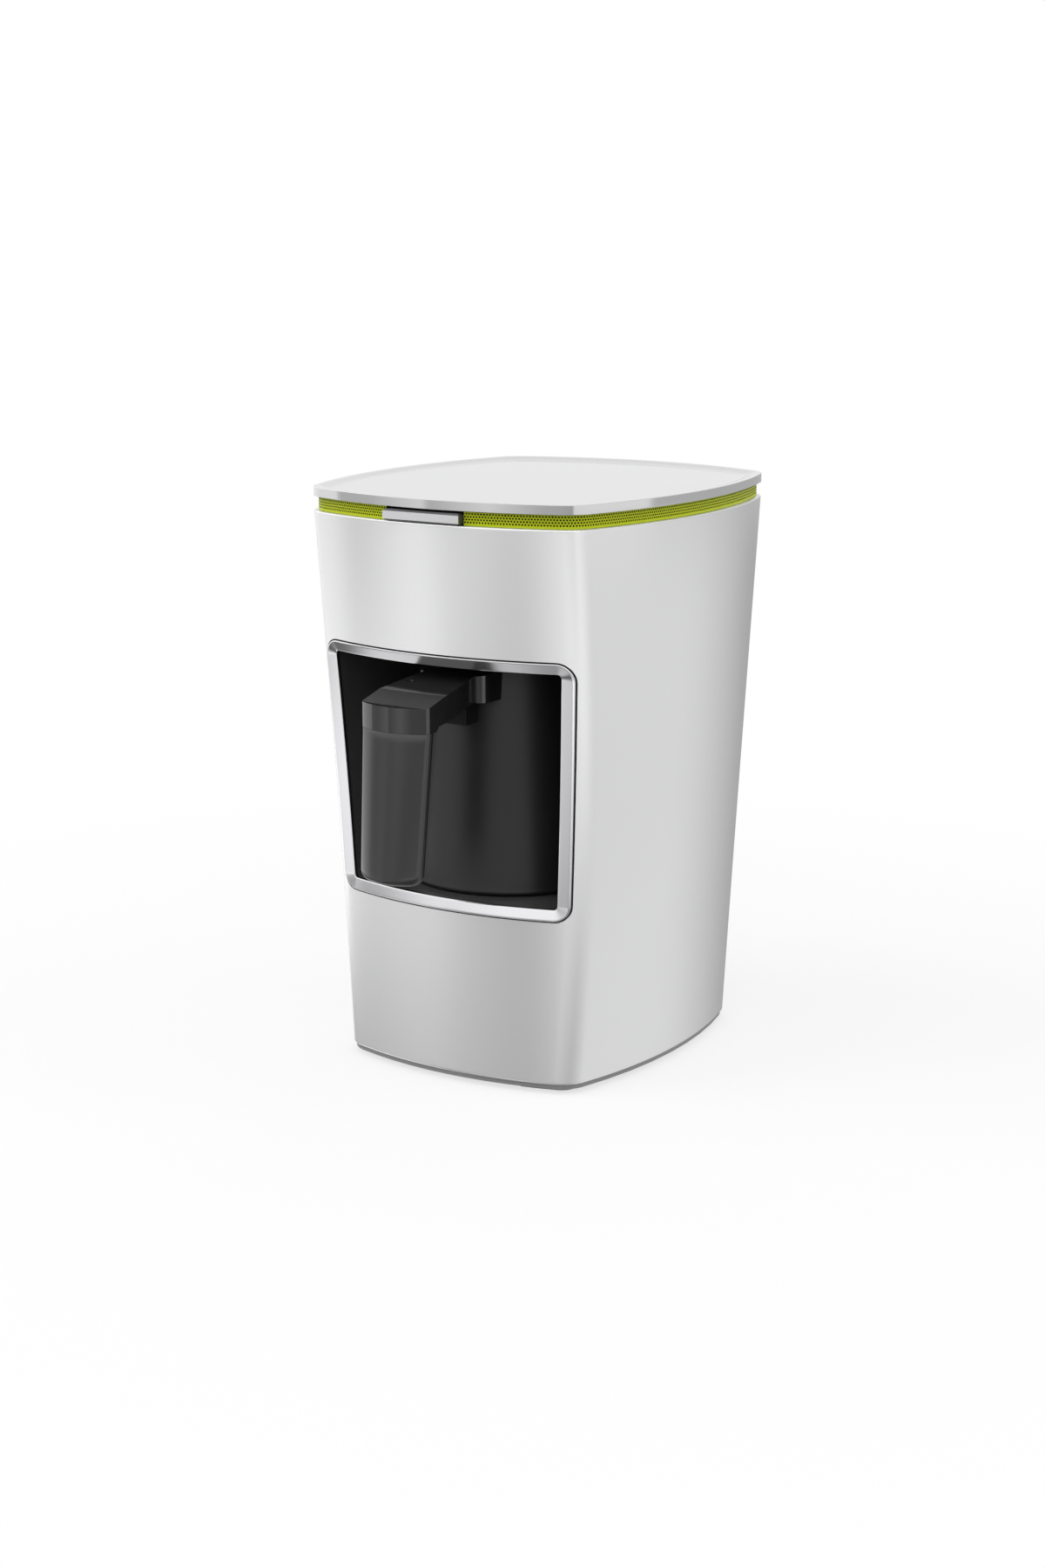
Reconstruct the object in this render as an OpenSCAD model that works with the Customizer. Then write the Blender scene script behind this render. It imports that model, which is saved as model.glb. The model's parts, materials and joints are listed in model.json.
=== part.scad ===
// Electric Turkish coffee maker: a tapered body with a niche, and a plug-in pot that draws straight out.
// Everything is drawn about the body's upright axis, with the front towards -Y, and place() then puts that
// axis where the middle of the whole footprint, handle included, is the origin. Millimetres, +Z up.

/* [Body] */
// Overall height
total_h = 240; // [200:1:300]
// Width of the body at its upper edge
body_top_w = 154.4; // [135:0.2:190]
// Depth of the body at its upper edge
body_top_d = 178.4; // [165:0.2:220]
// Width of the body at its lower edge
body_foot_w = 130.2; // [125:0.2:160]
// Depth of the body at its lower edge
body_foot_d = 150.6; // [145:0.2:190]
// How far the sides swell at half height
side_swell = 0.7; // [0:0.1:2]
// How far the front and back hollow at half height
end_hollow = 3.5; // [0:0.1:4]
// Plan radius of the front
front_arc_r = 158; // [140:1:220]
// Plan radius of the back
back_arc_r = 141; // [130:1:220]
// Plan radius of the sides
side_arc_r = 212; // [180:1:300]
// Plan radius of the body's corners
corner_r = 14; // [12:0.5:20]
// Wall of the body shell
wall = 2.5; // [2:0.1:3]

/* [Base] */
// Thickness of the rubber feet
foot_h = 2; // [1.5:0.1:4]
// Thickness of the base plate, seen as a line under the shell
base_t = 2; // [1.5:0.1:3]
// How far the base plate's edge lies inside the shell's
base_inset = 1; // [0.5:0.1:2]
// How far the feet reach along the front and back
foot_reach = 34; // [25:1:40]

/* [Lid] */
// How far the lid stands out past the body's upper edge
lid_over = 0.3; // [0:0.1:1]
// Height of the lid's edge
lid_h = 3.8; // [3:0.1:8]
// Plan radius of the lid's corners
lid_corner_r = 17; // [14:0.5:22]
// Width of the raised rim round the tray
tray_rim_w = 5; // [4:0.5:10]
// Depth of the tray inside its rim
tray_depth = 1.2; // [0.8:0.1:1.4]
// Thickness of the tray's floor
tray_t = 1.6; // [1.2:0.1:1.8]
// Wall of the lid's skirt
skirt_t = 1.7; // [1.2:0.1:1.9]

/* [Band] */
// Height of the perforated band that shows
band_h = 5.7; // [5:0.1:9]
// How far the band lies inside the lid's edge
band_inset = 2; // [2:0.1:3]
// Thickness of the band
band_t = 1.2; // [0.8:0.1:1.3]
// Thickness of the top frame's deck
deck_t = 2.9; // [2:0.1:4]

/* [Niche] */
// Height of the bezel's lower edge
bezel_z = 72.6; // [60:0.2:85]
// How much wider the bezel is at its upper edge than at its lower
bezel_flare = 9.8; // [6:0.2:11]
// Corner radius of the bezel
bezel_r = 7; // [5:0.5:10]
// Width of the bezel's side bars
bezel_side = 5.7; // [5:0.1:6]
// Height of the bezel's top bar
bezel_head = 4.5; // [4:0.1:5]
// Height of the bezel's sill
bezel_sill = 4.8; // [4.5:0.1:6]
// How far the bezel stands proud of the shell
bezel_proud = 0.5; // [0:0.1:1]
// Clear width between the pot's foot and the bezel, each side
pot_side_gap = 6.3; // [5:0.1:7]
// Clear height between the pot's rim and the bezel's upper bar
pot_rim_gap = 3.25; // [3:0.05:6]
// Wall of the niche liner
niche_wall = 1.8; // [1.5:0.1:2]
// Clear depth of the niche behind the pot
niche_back_gap = 6; // [5:0.5:10]
// Plan radius of the niche's rear corners
niche_back_r = 28; // [20:1:28]

/* [Pot] */
// Distance of the pot's axis in front of the body's axis
pot_forward = 25; // [20:1:28]
// Radius of the pot at its foot
pot_base_r = 43; // [36:0.5:44]
// Radius of the pot at its rim
pot_top_r = 35.5; // [33:0.5:38]
// Height of the pot
pot_h = 92.4; // [77:0.2:98]
// Wall of the pot
pot_wall = 2; // [1.5:0.1:2.5]
// Height of the cup that closes the pot's underside
cup_h = 18.5; // [18:0.5:20]
// How far the pot's spouts stand out from the rim
spout_reach = 4; // [3:0.5:8]

/* [Handle] */
// Distance of the grip's face from the pot's axis
handle_reach = 88; // [80:0.5:100]
// How far the grip leans out at its foot
grip_lean = 5; // [0:0.5:8]
// Width of the grip at its top
grip_top_w = 31.5; // [28:0.5:36]
// Width of the grip at its foot
grip_foot_w = 28; // [26:0.5:34]
// Thickness of the grip
grip_t = 10.5; // [10:0.5:13]
// How far the middle of the grip's face bulges past its edges
grip_bulge = 5; // [2:0.5:5]
// Height of the grip up to the cap's seam
grip_h = 60.3; // [44:0.1:62]
// Height of the cap's face above the seam
cap_h = 10; // [8:0.5:12]
// Depth of the cap's upper edge under the pot's rim
cap_drop = 8.3; // [7:0.1:12]
// Rise of the handle's arm towards the pot, in degrees
arm_slope = 8; // [6:0.5:10]
// Width of the saddle that hugs the pot
saddle_w = 33; // [32:1:52]

/* [Button] */
// Width of the start button
button_w = 35.7; // [30:0.1:44]
// Height of the start button
button_h = 4.5; // [3:0.1:4.8]
// How far the button stands in front of the lid's edge
button_proud = 0.5; // [0:0.1:1.5]
// Travel of the start button
button_travel = 1; // [0.5:0.1:1.2]

/* [Cord inlet] */
// Height of the cord gland's axis
gland_z = 18; // [17:0.5:24]
// Radius of the gland's bore
gland_bore_r = 3.4; // [3:0.1:4]

/* [Hidden] */
$fn = 48;
eps = 0.01;
fit = 0.3;          // clearance between neighbouring shells
touch = 0.05;       // clearance between pieces that bear on each other
screw_r = 1.4;      // shank of the plastic screws
thread_r = 1.45;    // pilot bore that a shank bites in
pass_r = 1.7;       // bore that a shank passes
head_r = 2.8;       // screw head
head_h = 1.9;
boss_r = 3.4;

// Size of the lid
lid_w = body_top_w + 2 * lid_over;
lid_d = body_top_d + 2 * lid_over;

// Heights
base_z = foot_h;
shell_z0 = base_z + base_t;
lid_z0 = total_h - lid_h;
shell_z1 = lid_z0 - band_h;
deck_z0 = shell_z1 - 0.1 - deck_t;
deck_z1 = deck_z0 + deck_t;
tray_z0 = total_h - tray_depth - tray_t;
band_z1 = tray_z0 - 0.2;

// The niche is made to the pot that stands in it
niche_z0 = bezel_z + bezel_sill - 0.1;
pot_z0 = niche_z0 + 0.35;
pot_z1 = pot_z0 + pot_h;
bezel_h = pot_z1 + pot_rim_gap + bezel_head - bezel_z;
bezel_foot_w = 2 * (pot_base_r + pot_side_gap + bezel_side);
bezel_top_w = bezel_foot_w + bezel_flare;

// Plan of the whole footprint
pot_y = -pot_forward;
grip_front_y = pot_y - handle_reach;
axis_y = (grip_lean - grip_front_y - lid_d / 2) / 2;

// Outline steps: across half the front, round a corner, along half a side, and up the shell
end_steps = 5;
bend_steps = 5;
side_steps = 4;
shell_steps = 5;

// ---- Outlines ----

// A point on a circle, at an angle from -Y turning towards +X
function on_arc(c, r, t) = c + r * [sin(t), -cos(t)];
function heading(v) = atan2(v[0], -v[1]);
function arc(c, r, t0, t1, n) = [for (i = [0 : n]) on_arc(c, r, t0 + (t1 - t0) * i / n)];
function flip(list) = [for (i = [len(list) - 1 : -1 : 0]) list[i]];
function tail(list) = [for (i = [1 : len(list) - 1]) list[i]];
function inner(list) = [for (i = [1 : len(list) - 2]) list[i]];

// Where two circles cross, on the left of the way from p to q
function crossing(p, rp, q, rq) =
    let (d = norm(q - p), u = (q - p) / d, a = (d * d + rp * rp - rq * rq) / (2 * d))
    p + a * u + sqrt(rp * rp - a * a) * [-u[1], u[0]];

// The corner that rounds an end arc into a side arc: [centre, first heading, last heading]
function bend(half_w, half_d, end_r, side_r, r) =
    let (end_c = [0, end_r - half_d], side_c = [half_w - side_r, 0],
         c = crossing(end_c, end_r - r, side_c, side_r - r))
    [c, heading(c - end_c), heading(c - side_c)];

// A quarter of the outline, from the middle of the front round to the side
function quarter(half_w, half_d, end_r, side_r, r) =
    let (b = bend(half_w, half_d, end_r, side_r, r))
    concat(arc([0, end_r - half_d], end_r, 0, b[1], end_steps),
           tail(arc(b[0], r, b[1], b[2], bend_steps)),
           tail(arc([half_w - side_r, 0], side_r, b[2], 90, side_steps)));

function mirror_y(list) = [for (p = list) [p[0], -p[1]]];
function mirror_x(list) = [for (p = list) [-p[0], p[1]]];

// The rounded-square outline of body and lid, a given way inside its full size
function outline(w, d, r, inset) =
    let (hw = w / 2 - inset, hd = d / 2 - inset, sr = side_arc_r - inset, cr = r - inset,
         right = concat(quarter(hw, hd, front_arc_r - inset, sr, cr),
                        tail(flip(mirror_y(quarter(hw, hd, back_arc_r - inset, sr, cr))))))
    concat(right, flip(inner(mirror_x(right))));

// The body's plan at a height: straight taper, sides swollen and ends hollowed at half height
function drop(z) = (shell_z1 - z) / (shell_z1 - shell_z0);
function arch(t) = 4 * t * (1 - t);
function body_w(z) = let (t = drop(z)) body_top_w * (1 - t) + body_foot_w * t + 2 * side_swell * arch(t);
function body_d(z) = let (t = drop(z)) body_top_d * (1 - t) + body_foot_d * t - 2 * end_hollow * arch(t);
function body_outline(z, inset) = outline(body_w(z), body_d(z), corner_r, inset);
function lid_outline(inset) = outline(lid_w, lid_d, lid_corner_r, inset);

// The front and back surfaces of the body, a given depth under its skin
function front_y(x, z, depth) =
    let (r = front_arc_r - depth) r - (body_d(z) / 2 - depth) - sqrt(r * r - x * x);
function back_y(x, z, depth) =
    let (r = back_arc_r - depth) (body_d(z) / 2 - depth) - r + sqrt(r * r - x * x);

// A corner of the body at a height, a given way inside its skin: [point, heading], end is -1 front or 1 back
function body_corner(z, end, inset) =
    let (b = bend(body_w(z) / 2, body_d(z) / 2, end < 0 ? front_arc_r : back_arc_r, side_arc_r, corner_r),
         t = (b[1] + b[2]) / 2, p = on_arc(b[0], corner_r - inset, t))
    [[p[0], -end * p[1]], end < 0 ? t - 90 : 90 - t];

// Puts its children at the four corners, with +X pointing out of the corner
module at_corners(z, inset)
    for (end = [-1, 1], side = [0, 1])
        let (c = body_corner(z, end, inset))
        mirror([side, 0, 0]) translate(c[0]) rotate(c[1]) children();

// The bezel's outline in front view, narrowed by its bars; a negative bar grows it
function bezel_half_w(z) =
    (bezel_foot_w + (bezel_top_w - bezel_foot_w) * (z - bezel_z) / bezel_h) / 2;
function bezel_outline(side, sill, head, r) =
    let (lean = atan2((bezel_top_w - bezel_foot_w) / 2, bezel_h),
         z0 = bezel_z + sill + r, z1 = bezel_z + bezel_h - head - r, in = side + r / cos(lean),
         right = concat(arc([bezel_half_w(z0) - in, z0], r, 0, 90 - lean, bend_steps),
                        arc([bezel_half_w(z1) - in, z1], r, 90 - lean, 180, bend_steps)))
    concat(right, flip(mirror_x(right)));

// ---- Solids from outlines ----

module place() translate([0, axis_y, 0]) children();

// Skins a stack of rings that have the same number of points, each anticlockwise from above
module loft(rings) {
    n = len(rings[0]);
    last = len(rings) - 1;
    polyhedron(
        points = [for (ring = rings) each ring],
        faces = concat(
            [[for (i = [0 : n - 1]) i]],
            [for (k = [0 : last - 1], i = [0 : n - 1])
                let (a = k * n + i, b = k * n + (i + 1) % n) each [[a, a + n, b + n], [a, b + n, b]]],
            [[for (i = [n - 1 : -1 : 0]) last * n + i]]));
}

// The body's form, a given way inside its skin
module body_form(inset, z0 = shell_z0, z1 = shell_z1)
    loft([for (i = [0 : shell_steps]) let (z = z0 + (z1 - z0) * i / shell_steps)
        [for (p = body_outline(z, inset)) [p[0], p[1], z]]]);

// A slab that follows the front of the body between two depths under its skin
module front_slab(depth0, depth1, z0, z1, half_w)
    loft([for (i = [0 : shell_steps]) let (z = z0 + (z1 - z0) * i / shell_steps, n = 2 * end_steps)
        concat([for (k = [0 : n]) let (x = half_w * (2 * k / n - 1)) [x, front_y(x, z, depth0), z]],
               [for (k = [0 : n]) let (x = half_w * (1 - 2 * k / n)) [x, front_y(x, z, depth1), z]])]);

module slab(z0, z1) translate([0, 0, z0]) linear_extrude(z1 - z0) children();
module along_x(x0, x1) translate([x0, 0, 0]) rotate([90, 0, 90]) linear_extrude(x1 - x0) children();
module along_y(y0, y1) translate([0, y1, 0]) rotate([90, 0, 0]) linear_extrude(y1 - y0) children();

// A box from its low and high corners
module block(low, high) translate(low) cube(high - low);

// Rods along Z and Y from one end to the other
module rod_z(x, y, z0, z1, r) translate([x, y, z0]) cylinder(h = z1 - z0, r = r);
module rod_y(x, y0, y1, z, r) translate([x, y0, z]) rotate([-90, 0, 0]) cylinder(h = y1 - y0, r = r);

// Repeats its children at both sides of the middle
module both(x) for (side = [-1, 1]) translate([side * x, 0, 0]) children();

// A screw that points down -Z with the underside of its head at the origin
module screw(length, r = screw_r, cap_r = head_r, cap_h = head_h)
    difference() {
        union() {
            cylinder(h = cap_h, r = cap_r);
            translate([0, 0, -length]) cylinder(h = length + eps, r = r);
        }
        for (turn = [0, 90])
            rotate(turn) translate([-cap_r * 0.6, -0.4, cap_h * 0.45]) cube([cap_r * 1.2, 0.8, cap_h]);
    }

// Skins a round tube along a path; each ring's turn follows on from the one before
function unit(v) = v / norm(v);
function tangent(path, i) = unit(path[min(i + 1, len(path) - 1)] - path[max(i - 1, 0)]);
function normals(path, i = 0, before = [0.13, 0.31, 0.94]) =
    let (t = tangent(path, i), n = unit(before - (before * t) * t))
    i == len(path) - 1 ? [n] : concat([n], normals(path, i + 1, n));
module tube(path, r, sides = 8) {
    normal = normals(path);
    loft([for (i = [0 : len(path) - 1]) let (t = tangent(path, i), u = normal[i], v = cross(t, u))
        [for (k = [0 : sides - 1]) path[i] + r * (cos(360 * k / sides) * u + sin(360 * k / sides) * v)]]);
}

// A cubic curve between two ends, drawn towards two handles
function curve(a, b, c, d, n) =
    [for (i = [0 : n]) let (t = i / n, s = 1 - t) s*s*s * a + 3*s*s*t * b + 3*s*t*t * c + t*t*t * d];

// ---- Body shell ----

deck_post_inset = 11;       // posts for the top frame, inside the skin
base_post_inset = 10;       // posts for the base plate
post_len = 20;
deck_post_z0 = deck_z0 - touch - post_len;
base_post_z0 = shell_z0 + 5.2;
web_t = 2;

liner_screw_x = 34;
liner_screw_off = 11;       // how far the liner's screws stand above and below the bezel
liner_boss_len = 8;
function liner_screw_z(end) = end < 0 ? bezel_z - liner_screw_off : bezel_z + bezel_h + liner_screw_off;
function liner_ear_y(end) = front_y(liner_screw_x, liner_screw_z(end), wall) + liner_boss_len;
module at_liner_screws()
    for (end = [-1, 1])
        both(liner_screw_x)
            translate([0, liner_ear_y(end), liner_screw_z(end)]) rotate([-90, 0, 0]) children();

gland_r = 6;
bezel_seam = 0.4;

module corner_posts(z0, inset)
    at_corners(z0, inset) {
        rod_z(0, 0, z0, z0 + post_len, boss_r);
        block([0, -web_t / 2, z0], [inset, web_t / 2, z0 + post_len]);
    }

module body_shell() place() color("gainsboro") difference() {
    union() {
        difference() {
            body_form(0);
            body_form(wall, shell_z0 - 1, shell_z1 + 1);
        }
        intersection() {
            body_form(wall * 0.25);
            union() {
                corner_posts(deck_post_z0, deck_post_inset);
                corner_posts(base_post_z0, base_post_inset);
                at_liner_screws()
                    translate([0, 0, -liner_boss_len - wall]) cylinder(h = liner_boss_len + wall, r = boss_r);
            }
        }
    }
    along_y(-body_top_d / 2 - 5, -body_foot_d / 4)
        polygon(bezel_outline(-bezel_seam, -bezel_seam, -bezel_seam, bezel_r + bezel_seam));
    at_corners(deck_post_z0, deck_post_inset) rod_z(0, 0, deck_z0 - 16, deck_z0 + 1, thread_r);
    at_corners(base_post_z0, base_post_inset) rod_z(0, 0, shell_z0, base_post_z0 + 14, thread_r);
    at_liner_screws() translate([0, 0, -liner_boss_len + 1]) cylinder(h = liner_boss_len + 1, r = thread_r);
    rod_y(0, body_foot_d / 4, body_top_d, gland_z, gland_r + 0.15);
}

// ---- Base ----

tongue_t = 1.8;
tongue_h = 5;
recess_z = base_post_z0 - 2.5;      // seat of the base screws' heads

board_z = 14;                       // underside of the main board
board_t = 1.6;
board_hw = 40;
board_y0 = -40;
board_y1 = 36;
board_hole_in = 4;
module at_board_holes()
    for (y = [board_y0 + board_hole_in, board_y1 - board_hole_in])
        both(board_hw - board_hole_in) translate([0, y, 0]) children();

clamp_y = 57;
clamp_x = 9.5;
clamp_hw = 13.5;
clamp_hd = 4;
clamp_z1 = gland_z + gland_bore_r + 3;

vent_n = 9;                         // slots under the main board
vent_hw = 26;
vent_w = 3;
vent_pitch = 7;

pad_in = 5;                         // how far the feet lie inside the base plate's edge
pad_w = 7;
pad_side_extra = 10;                // how much further the feet reach along the sides
peg_r = 2;
peg_in = base_inset + pad_in + pad_w / 2;
peg_x = body_foot_w / 2 - foot_reach + 3;
module at_pegs()
    for (y = [front_y(peg_x, shell_z0, peg_in), back_y(peg_x, shell_z0, peg_in)])
        both(peg_x) translate([0, y, 0]) children();

module foot_plan()
    intersection() {
        difference() {
            polygon(body_outline(shell_z0, base_inset + pad_in));
            polygon(body_outline(shell_z0, base_inset + pad_in + pad_w));
        }
        for (x = [-1, 1] * body_foot_w / 2, y = [-1, 1] * body_foot_d / 2)
            translate([x, y]) square(2 * [foot_reach, foot_reach + pad_side_extra], center = true);
    }

module base_plate() place() color("dimgray") difference() {
    union() {
        slab(base_z, shell_z0) polygon(body_outline(shell_z0, base_inset));
        slab(shell_z0 - eps, shell_z0 + tongue_h) difference() {
            polygon(body_outline(shell_z0, wall + fit));
            polygon(body_outline(shell_z0, wall + fit + tongue_t));
        }
        at_corners(base_post_z0, base_post_inset) rod_z(0, 0, base_z, base_post_z0 - touch, head_r + 2);
        at_board_holes() rod_z(0, 0, base_z, board_z, boss_r);
        block([-clamp_hw, clamp_y - clamp_hd, base_z],
              [clamp_hw, clamp_y + clamp_hd, gland_z - gland_bore_r - touch]);
        both(clamp_x) rod_z(0, clamp_y, base_z, gland_z + gland_bore_r, boss_r);
    }
    at_corners(base_post_z0, base_post_inset) {
        rod_z(0, 0, base_z - 1, recess_z, head_r + 0.6);
        rod_z(0, 0, base_z - 1, base_post_z0 + 1, pass_r);
    }
    at_board_holes() rod_z(0, 0, board_z - 9, board_z + 1, thread_r);
    both(clamp_x) rod_z(0, clamp_y, gland_z - 10, gland_z + 10, thread_r);
    for (i = [0 : vent_n - 1]) let (y = (i - (vent_n - 1) / 2) * vent_pitch)
        block([-vent_hw, y - vent_w / 2, base_z - 1], [vent_hw, y + vent_w / 2, shell_z0 + 1]);
    at_pegs() rod_z(0, 0, base_z - 1, shell_z0 + 1, peg_r + 0.1);
}

module rubber_feet() place() color("dimgray") {
    slab(0, base_z) foot_plan();
    at_pegs() rod_z(0, 0, base_z - eps, shell_z0 - touch, peg_r);
}

module base_screws() place() color("silver")
    at_corners(base_post_z0, base_post_inset) translate([0, 0, recess_z]) rotate([180, 0, 0]) screw(13);

// ---- Top frame, lid and band ----

rib_inset = band_inset + band_t + fit;      // upstand behind the band
rib_t = 2;
hook_x = lid_w / 2 - 14;
hook_y = 40;
hook_w = 8;
hook_t = 1.5;
hook_lip = 0.9;
hook_z0 = deck_z0 - 2.5;
hook_play = 0.4;

button_gap = 0.35;
button_z0 = shell_z1 + 0.25;
button_z1 = button_z0 + button_h;
button_z = (button_z0 + button_z1) / 2;
button_front_y = -lid_d / 2 - button_proud;
flange_t = 2;
flange_over = 3.2;                          // how far the flange reaches past the bar at each end
bar_in = 0.1;                               // how far the bar behind the face is smaller than it
flange_hw = button_w / 2 - bar_in + flange_over;

// The flange stays behind the upstand, which curves back towards the flange's ends
upstand_r = front_arc_r - rib_inset - rib_t;
upstand_rise = upstand_r - sqrt(upstand_r * upstand_r - flange_hw * flange_hw);
flange_front_y = -lid_d / 2 + rib_inset + rib_t + upstand_rise + 0.55;
stand_y = flange_front_y + flange_t + 4;    // front of the guide's upright
stand_t = 3;
stand_hw = button_w / 2 + 16;
guide_screw_x = button_w / 2 + 11;
guide_foot_y = stand_y + stand_t + 9;
guide_foot_z1 = deck_z1 + 2;
guide_screw_y = guide_foot_y - 4.5;
guide_pin_x = button_w / 2 - 5.85;
guide_pin_r = 1.5;
push_rod_r = 1.9;

control_y = stand_y + stand_t + 5;          // front of the control board
control_t = 1.6;
plunger_len = 2.5;
plunger_y = control_y - 2.2 - plunger_len;
control_hw = 22;
control_h = 40;
control_z1 = tray_z0 - 1.2;
board_way_hw = control_hw + 1;              // opening in the deck that the control board hangs in
board_way_y0 = control_y - 4.5;
deck_way_hw = 45;                           // opening over the niche
deck_way_y0 = control_y + 14;
deck_way_y1 = body_top_d / 2 - 26;
lug_z = deck_z0 - 6.5;
lug_x = 17;
lug_hw = 3.5;
lug_y1 = control_y + 10;

// The gap through which the button passes the band and the upstand
module button_way(extra)
    block([-button_w / 2 - extra, -lid_d / 2 - 5, shell_z1 - 0.5],
          [button_w / 2 + extra, -lid_d / 2 + rib_inset + rib_t + 8, tray_z0 + 1]);

module hook_slots()
    for (y = [-hook_y, hook_y])
        both(hook_x)
            block([-hook_t - 0.1, y - hook_w / 2 - hook_play, deck_z0 - 1],
                  [hook_t + 0.1, y + hook_w / 2 + hook_play, deck_z1 + 1]);

module top_frame() place() color("#2b2b2b") difference() {
    union() {
        slab(deck_z0, deck_z1) polygon(body_outline(deck_z0, wall + fit));
        slab(deck_z1 - eps, tray_z0 - 0.2) difference() {
            polygon(lid_outline(rib_inset));
            polygon(lid_outline(rib_inset + rib_t));
        }
        both(lug_x)
            block([-lug_hw, control_y + control_t + touch, lug_z - 5], [lug_hw, lug_y1, deck_z0 + eps]);
        both(guide_screw_x) rod_z(0, guide_screw_y, deck_z0 - 7, deck_z0 + eps, boss_r);
    }
    difference() {
        button_way(0.6);
        block([-lid_w, -lid_d, deck_z1 - 2], [lid_w, lid_d, deck_z1]);
    }
    block([-board_way_hw, board_way_y0, deck_z0 - 1],
          [board_way_hw, control_y + control_t + touch, deck_z1 + 1]);
    block([-deck_way_hw, deck_way_y0, deck_z0 - 1], [deck_way_hw, deck_way_y1, deck_z1 + 1]);
    hook_slots();
    at_corners(deck_post_z0, deck_post_inset) rod_z(0, 0, deck_z0 - 1, deck_z1 + 1, pass_r);
    both(lug_x) rod_y(0, control_y, control_y + 9, lug_z, thread_r);
    both(guide_screw_x) rod_z(0, guide_screw_y, deck_z0 - 6, deck_z1 + 1, thread_r);
}

module top_frame_screws() place() color("silver")
    at_corners(deck_post_z0, deck_post_inset) translate([0, 0, deck_z1 + touch]) screw(14);

module grille_band() place() color("yellowgreen") difference() {
    slab(shell_z1 + 0.1, band_z1) difference() {
        polygon(lid_outline(band_inset));
        polygon(lid_outline(band_inset + band_t));
    }
    button_way(button_gap);
}

module lid_tray() place() color("whitesmoke") {
    slab(lid_z0, total_h) difference() {
        polygon(lid_outline(0));
        polygon(lid_outline(skirt_t));
    }
    slab(tray_z0, tray_z0 + tray_t) polygon(lid_outline(skirt_t - eps));
    slab(tray_z0 + tray_t - eps, total_h) difference() {
        polygon(lid_outline(skirt_t - eps));
        polygon(lid_outline(tray_rim_w));
    }
    for (side = [0, 1], y = [-hook_y, hook_y]) mirror([side, 0, 0]) translate([hook_x, y - hook_w / 2, 0]) {
        block([-hook_t / 2, 0, hook_z0], [hook_t / 2, hook_w, tray_z0 + eps]);
        block([0, 0, hook_z0], [hook_t + hook_lip, hook_w, deck_z0 - hook_play]);
    }
}

// ---- Bezel and niche ----

niche_side_gap = 1.2;       // how far the niche is wider than the bezel's opening, each side
niche_edge_r = 3;
niche_head = 1.2;           // how far the niche's roof is above the bezel's opening
niche_z1 = bezel_z + bezel_h - bezel_head + niche_head;
niche_back_y = pot_y + pot_base_r + niche_back_gap;
liner_roof_z = niche_z1 + niche_wall;
flange_grow = 6;
flange_y = wall + 0.2;      // depth of the flange's face under the skin
flange_back = wall + 2;
ear_hw = 6;
ear_t = 2.5;
ear_over = 5;               // how far an ear reaches past its screw
slab_over = 10;
clip_w = 6;
clip_play = 0.15;
clip_hook = 0.6;
clip_hook_y = flange_back + 1.5;
clip_back_y = flange_back + 3.5;
slab_hw = bezel_top_w / 2 + 9;     // half width of the slabs that bezel and flange are cut from
clip_t = 1;
clip_in = 0.2;              // how far a clip lies inside the bezel's edge
clip_z = [bezel_z + 28, bezel_z + bezel_h - 27.2];

// Clips at the sides and the sill: [x, z, turn about Y], with the clip's outer face towards local -Z
function bezel_clips() = concat(
    [for (x = [-30, 30]) [x, bezel_z + clip_in, 0]],
    [for (z = clip_z, side = [-1, 1]) [side * (bezel_half_w(z) - clip_in - 0.3), z, -90 * side]]);
module at_clips()
    for (c = bezel_clips())
        translate([c[0], front_y(c[0], c[1], 0), c[1]]) rotate([0, c[2], 0]) children();

module bezel() place() color("silver") {
    difference() {
        intersection() {
            front_slab(-bezel_proud, wall + 0.1, bezel_z - slab_over, bezel_z + bezel_h + slab_over, slab_hw);
            along_y(-body_top_d, 0) polygon(bezel_outline(0, 0, 0, bezel_r));
        }
        along_y(-body_top_d - 1, 1) polygon(bezel_outline(bezel_side, bezel_sill, bezel_head, 1.5));
    }
    at_clips() {
        block([-clip_w / 2, 1.5, 0], [clip_w / 2, clip_back_y, clip_t]);
        block([-clip_w / 2, clip_hook_y, -clip_hook], [clip_w / 2, clip_back_y, clip_t]);
    }
}

// Front view and plan of the niche, grown by its wall
module niche_form(grow)
    intersection() {
        along_y(-body_top_d / 2 - 5, body_top_d) polygon(bezel_outline(
            bezel_side - niche_side_gap - grow, bezel_sill - 0.1 - grow,
            bezel_head - niche_head - grow, niche_edge_r + grow));
        slab(0, total_h) {
            half_w = bezel_top_w / 2 - bezel_side + niche_side_gap + grow;
            back = niche_back_y + grow;
            r = niche_back_r + grow;
            polygon(concat([[-half_w, -body_top_d], [half_w, -body_top_d]],
                arc([half_w - r, back - r], r, 90, 180, bend_steps),
                arc([r - half_w, back - r], r, 180, 270, bend_steps)));
        }
    }

socket_hw = 17;
socket_play = 0.2;
socket_ear_t = 2.5;
socket_ear_hh = 5;
socket_ear_over = 5;        // how far an ear reaches past its screw
socket_z0 = niche_z0 + 1.7;
socket_z1 = socket_z0 + 17;
plug_z = (socket_z0 + socket_z1) / 2;
socket_screw_x = 21;
socket_boss_y = niche_back_y + niche_wall + 6;
sensor_r = 9;
sensor_screw_x = 15.5;
sensor_boss_z = liner_roof_z + 4;

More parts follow.
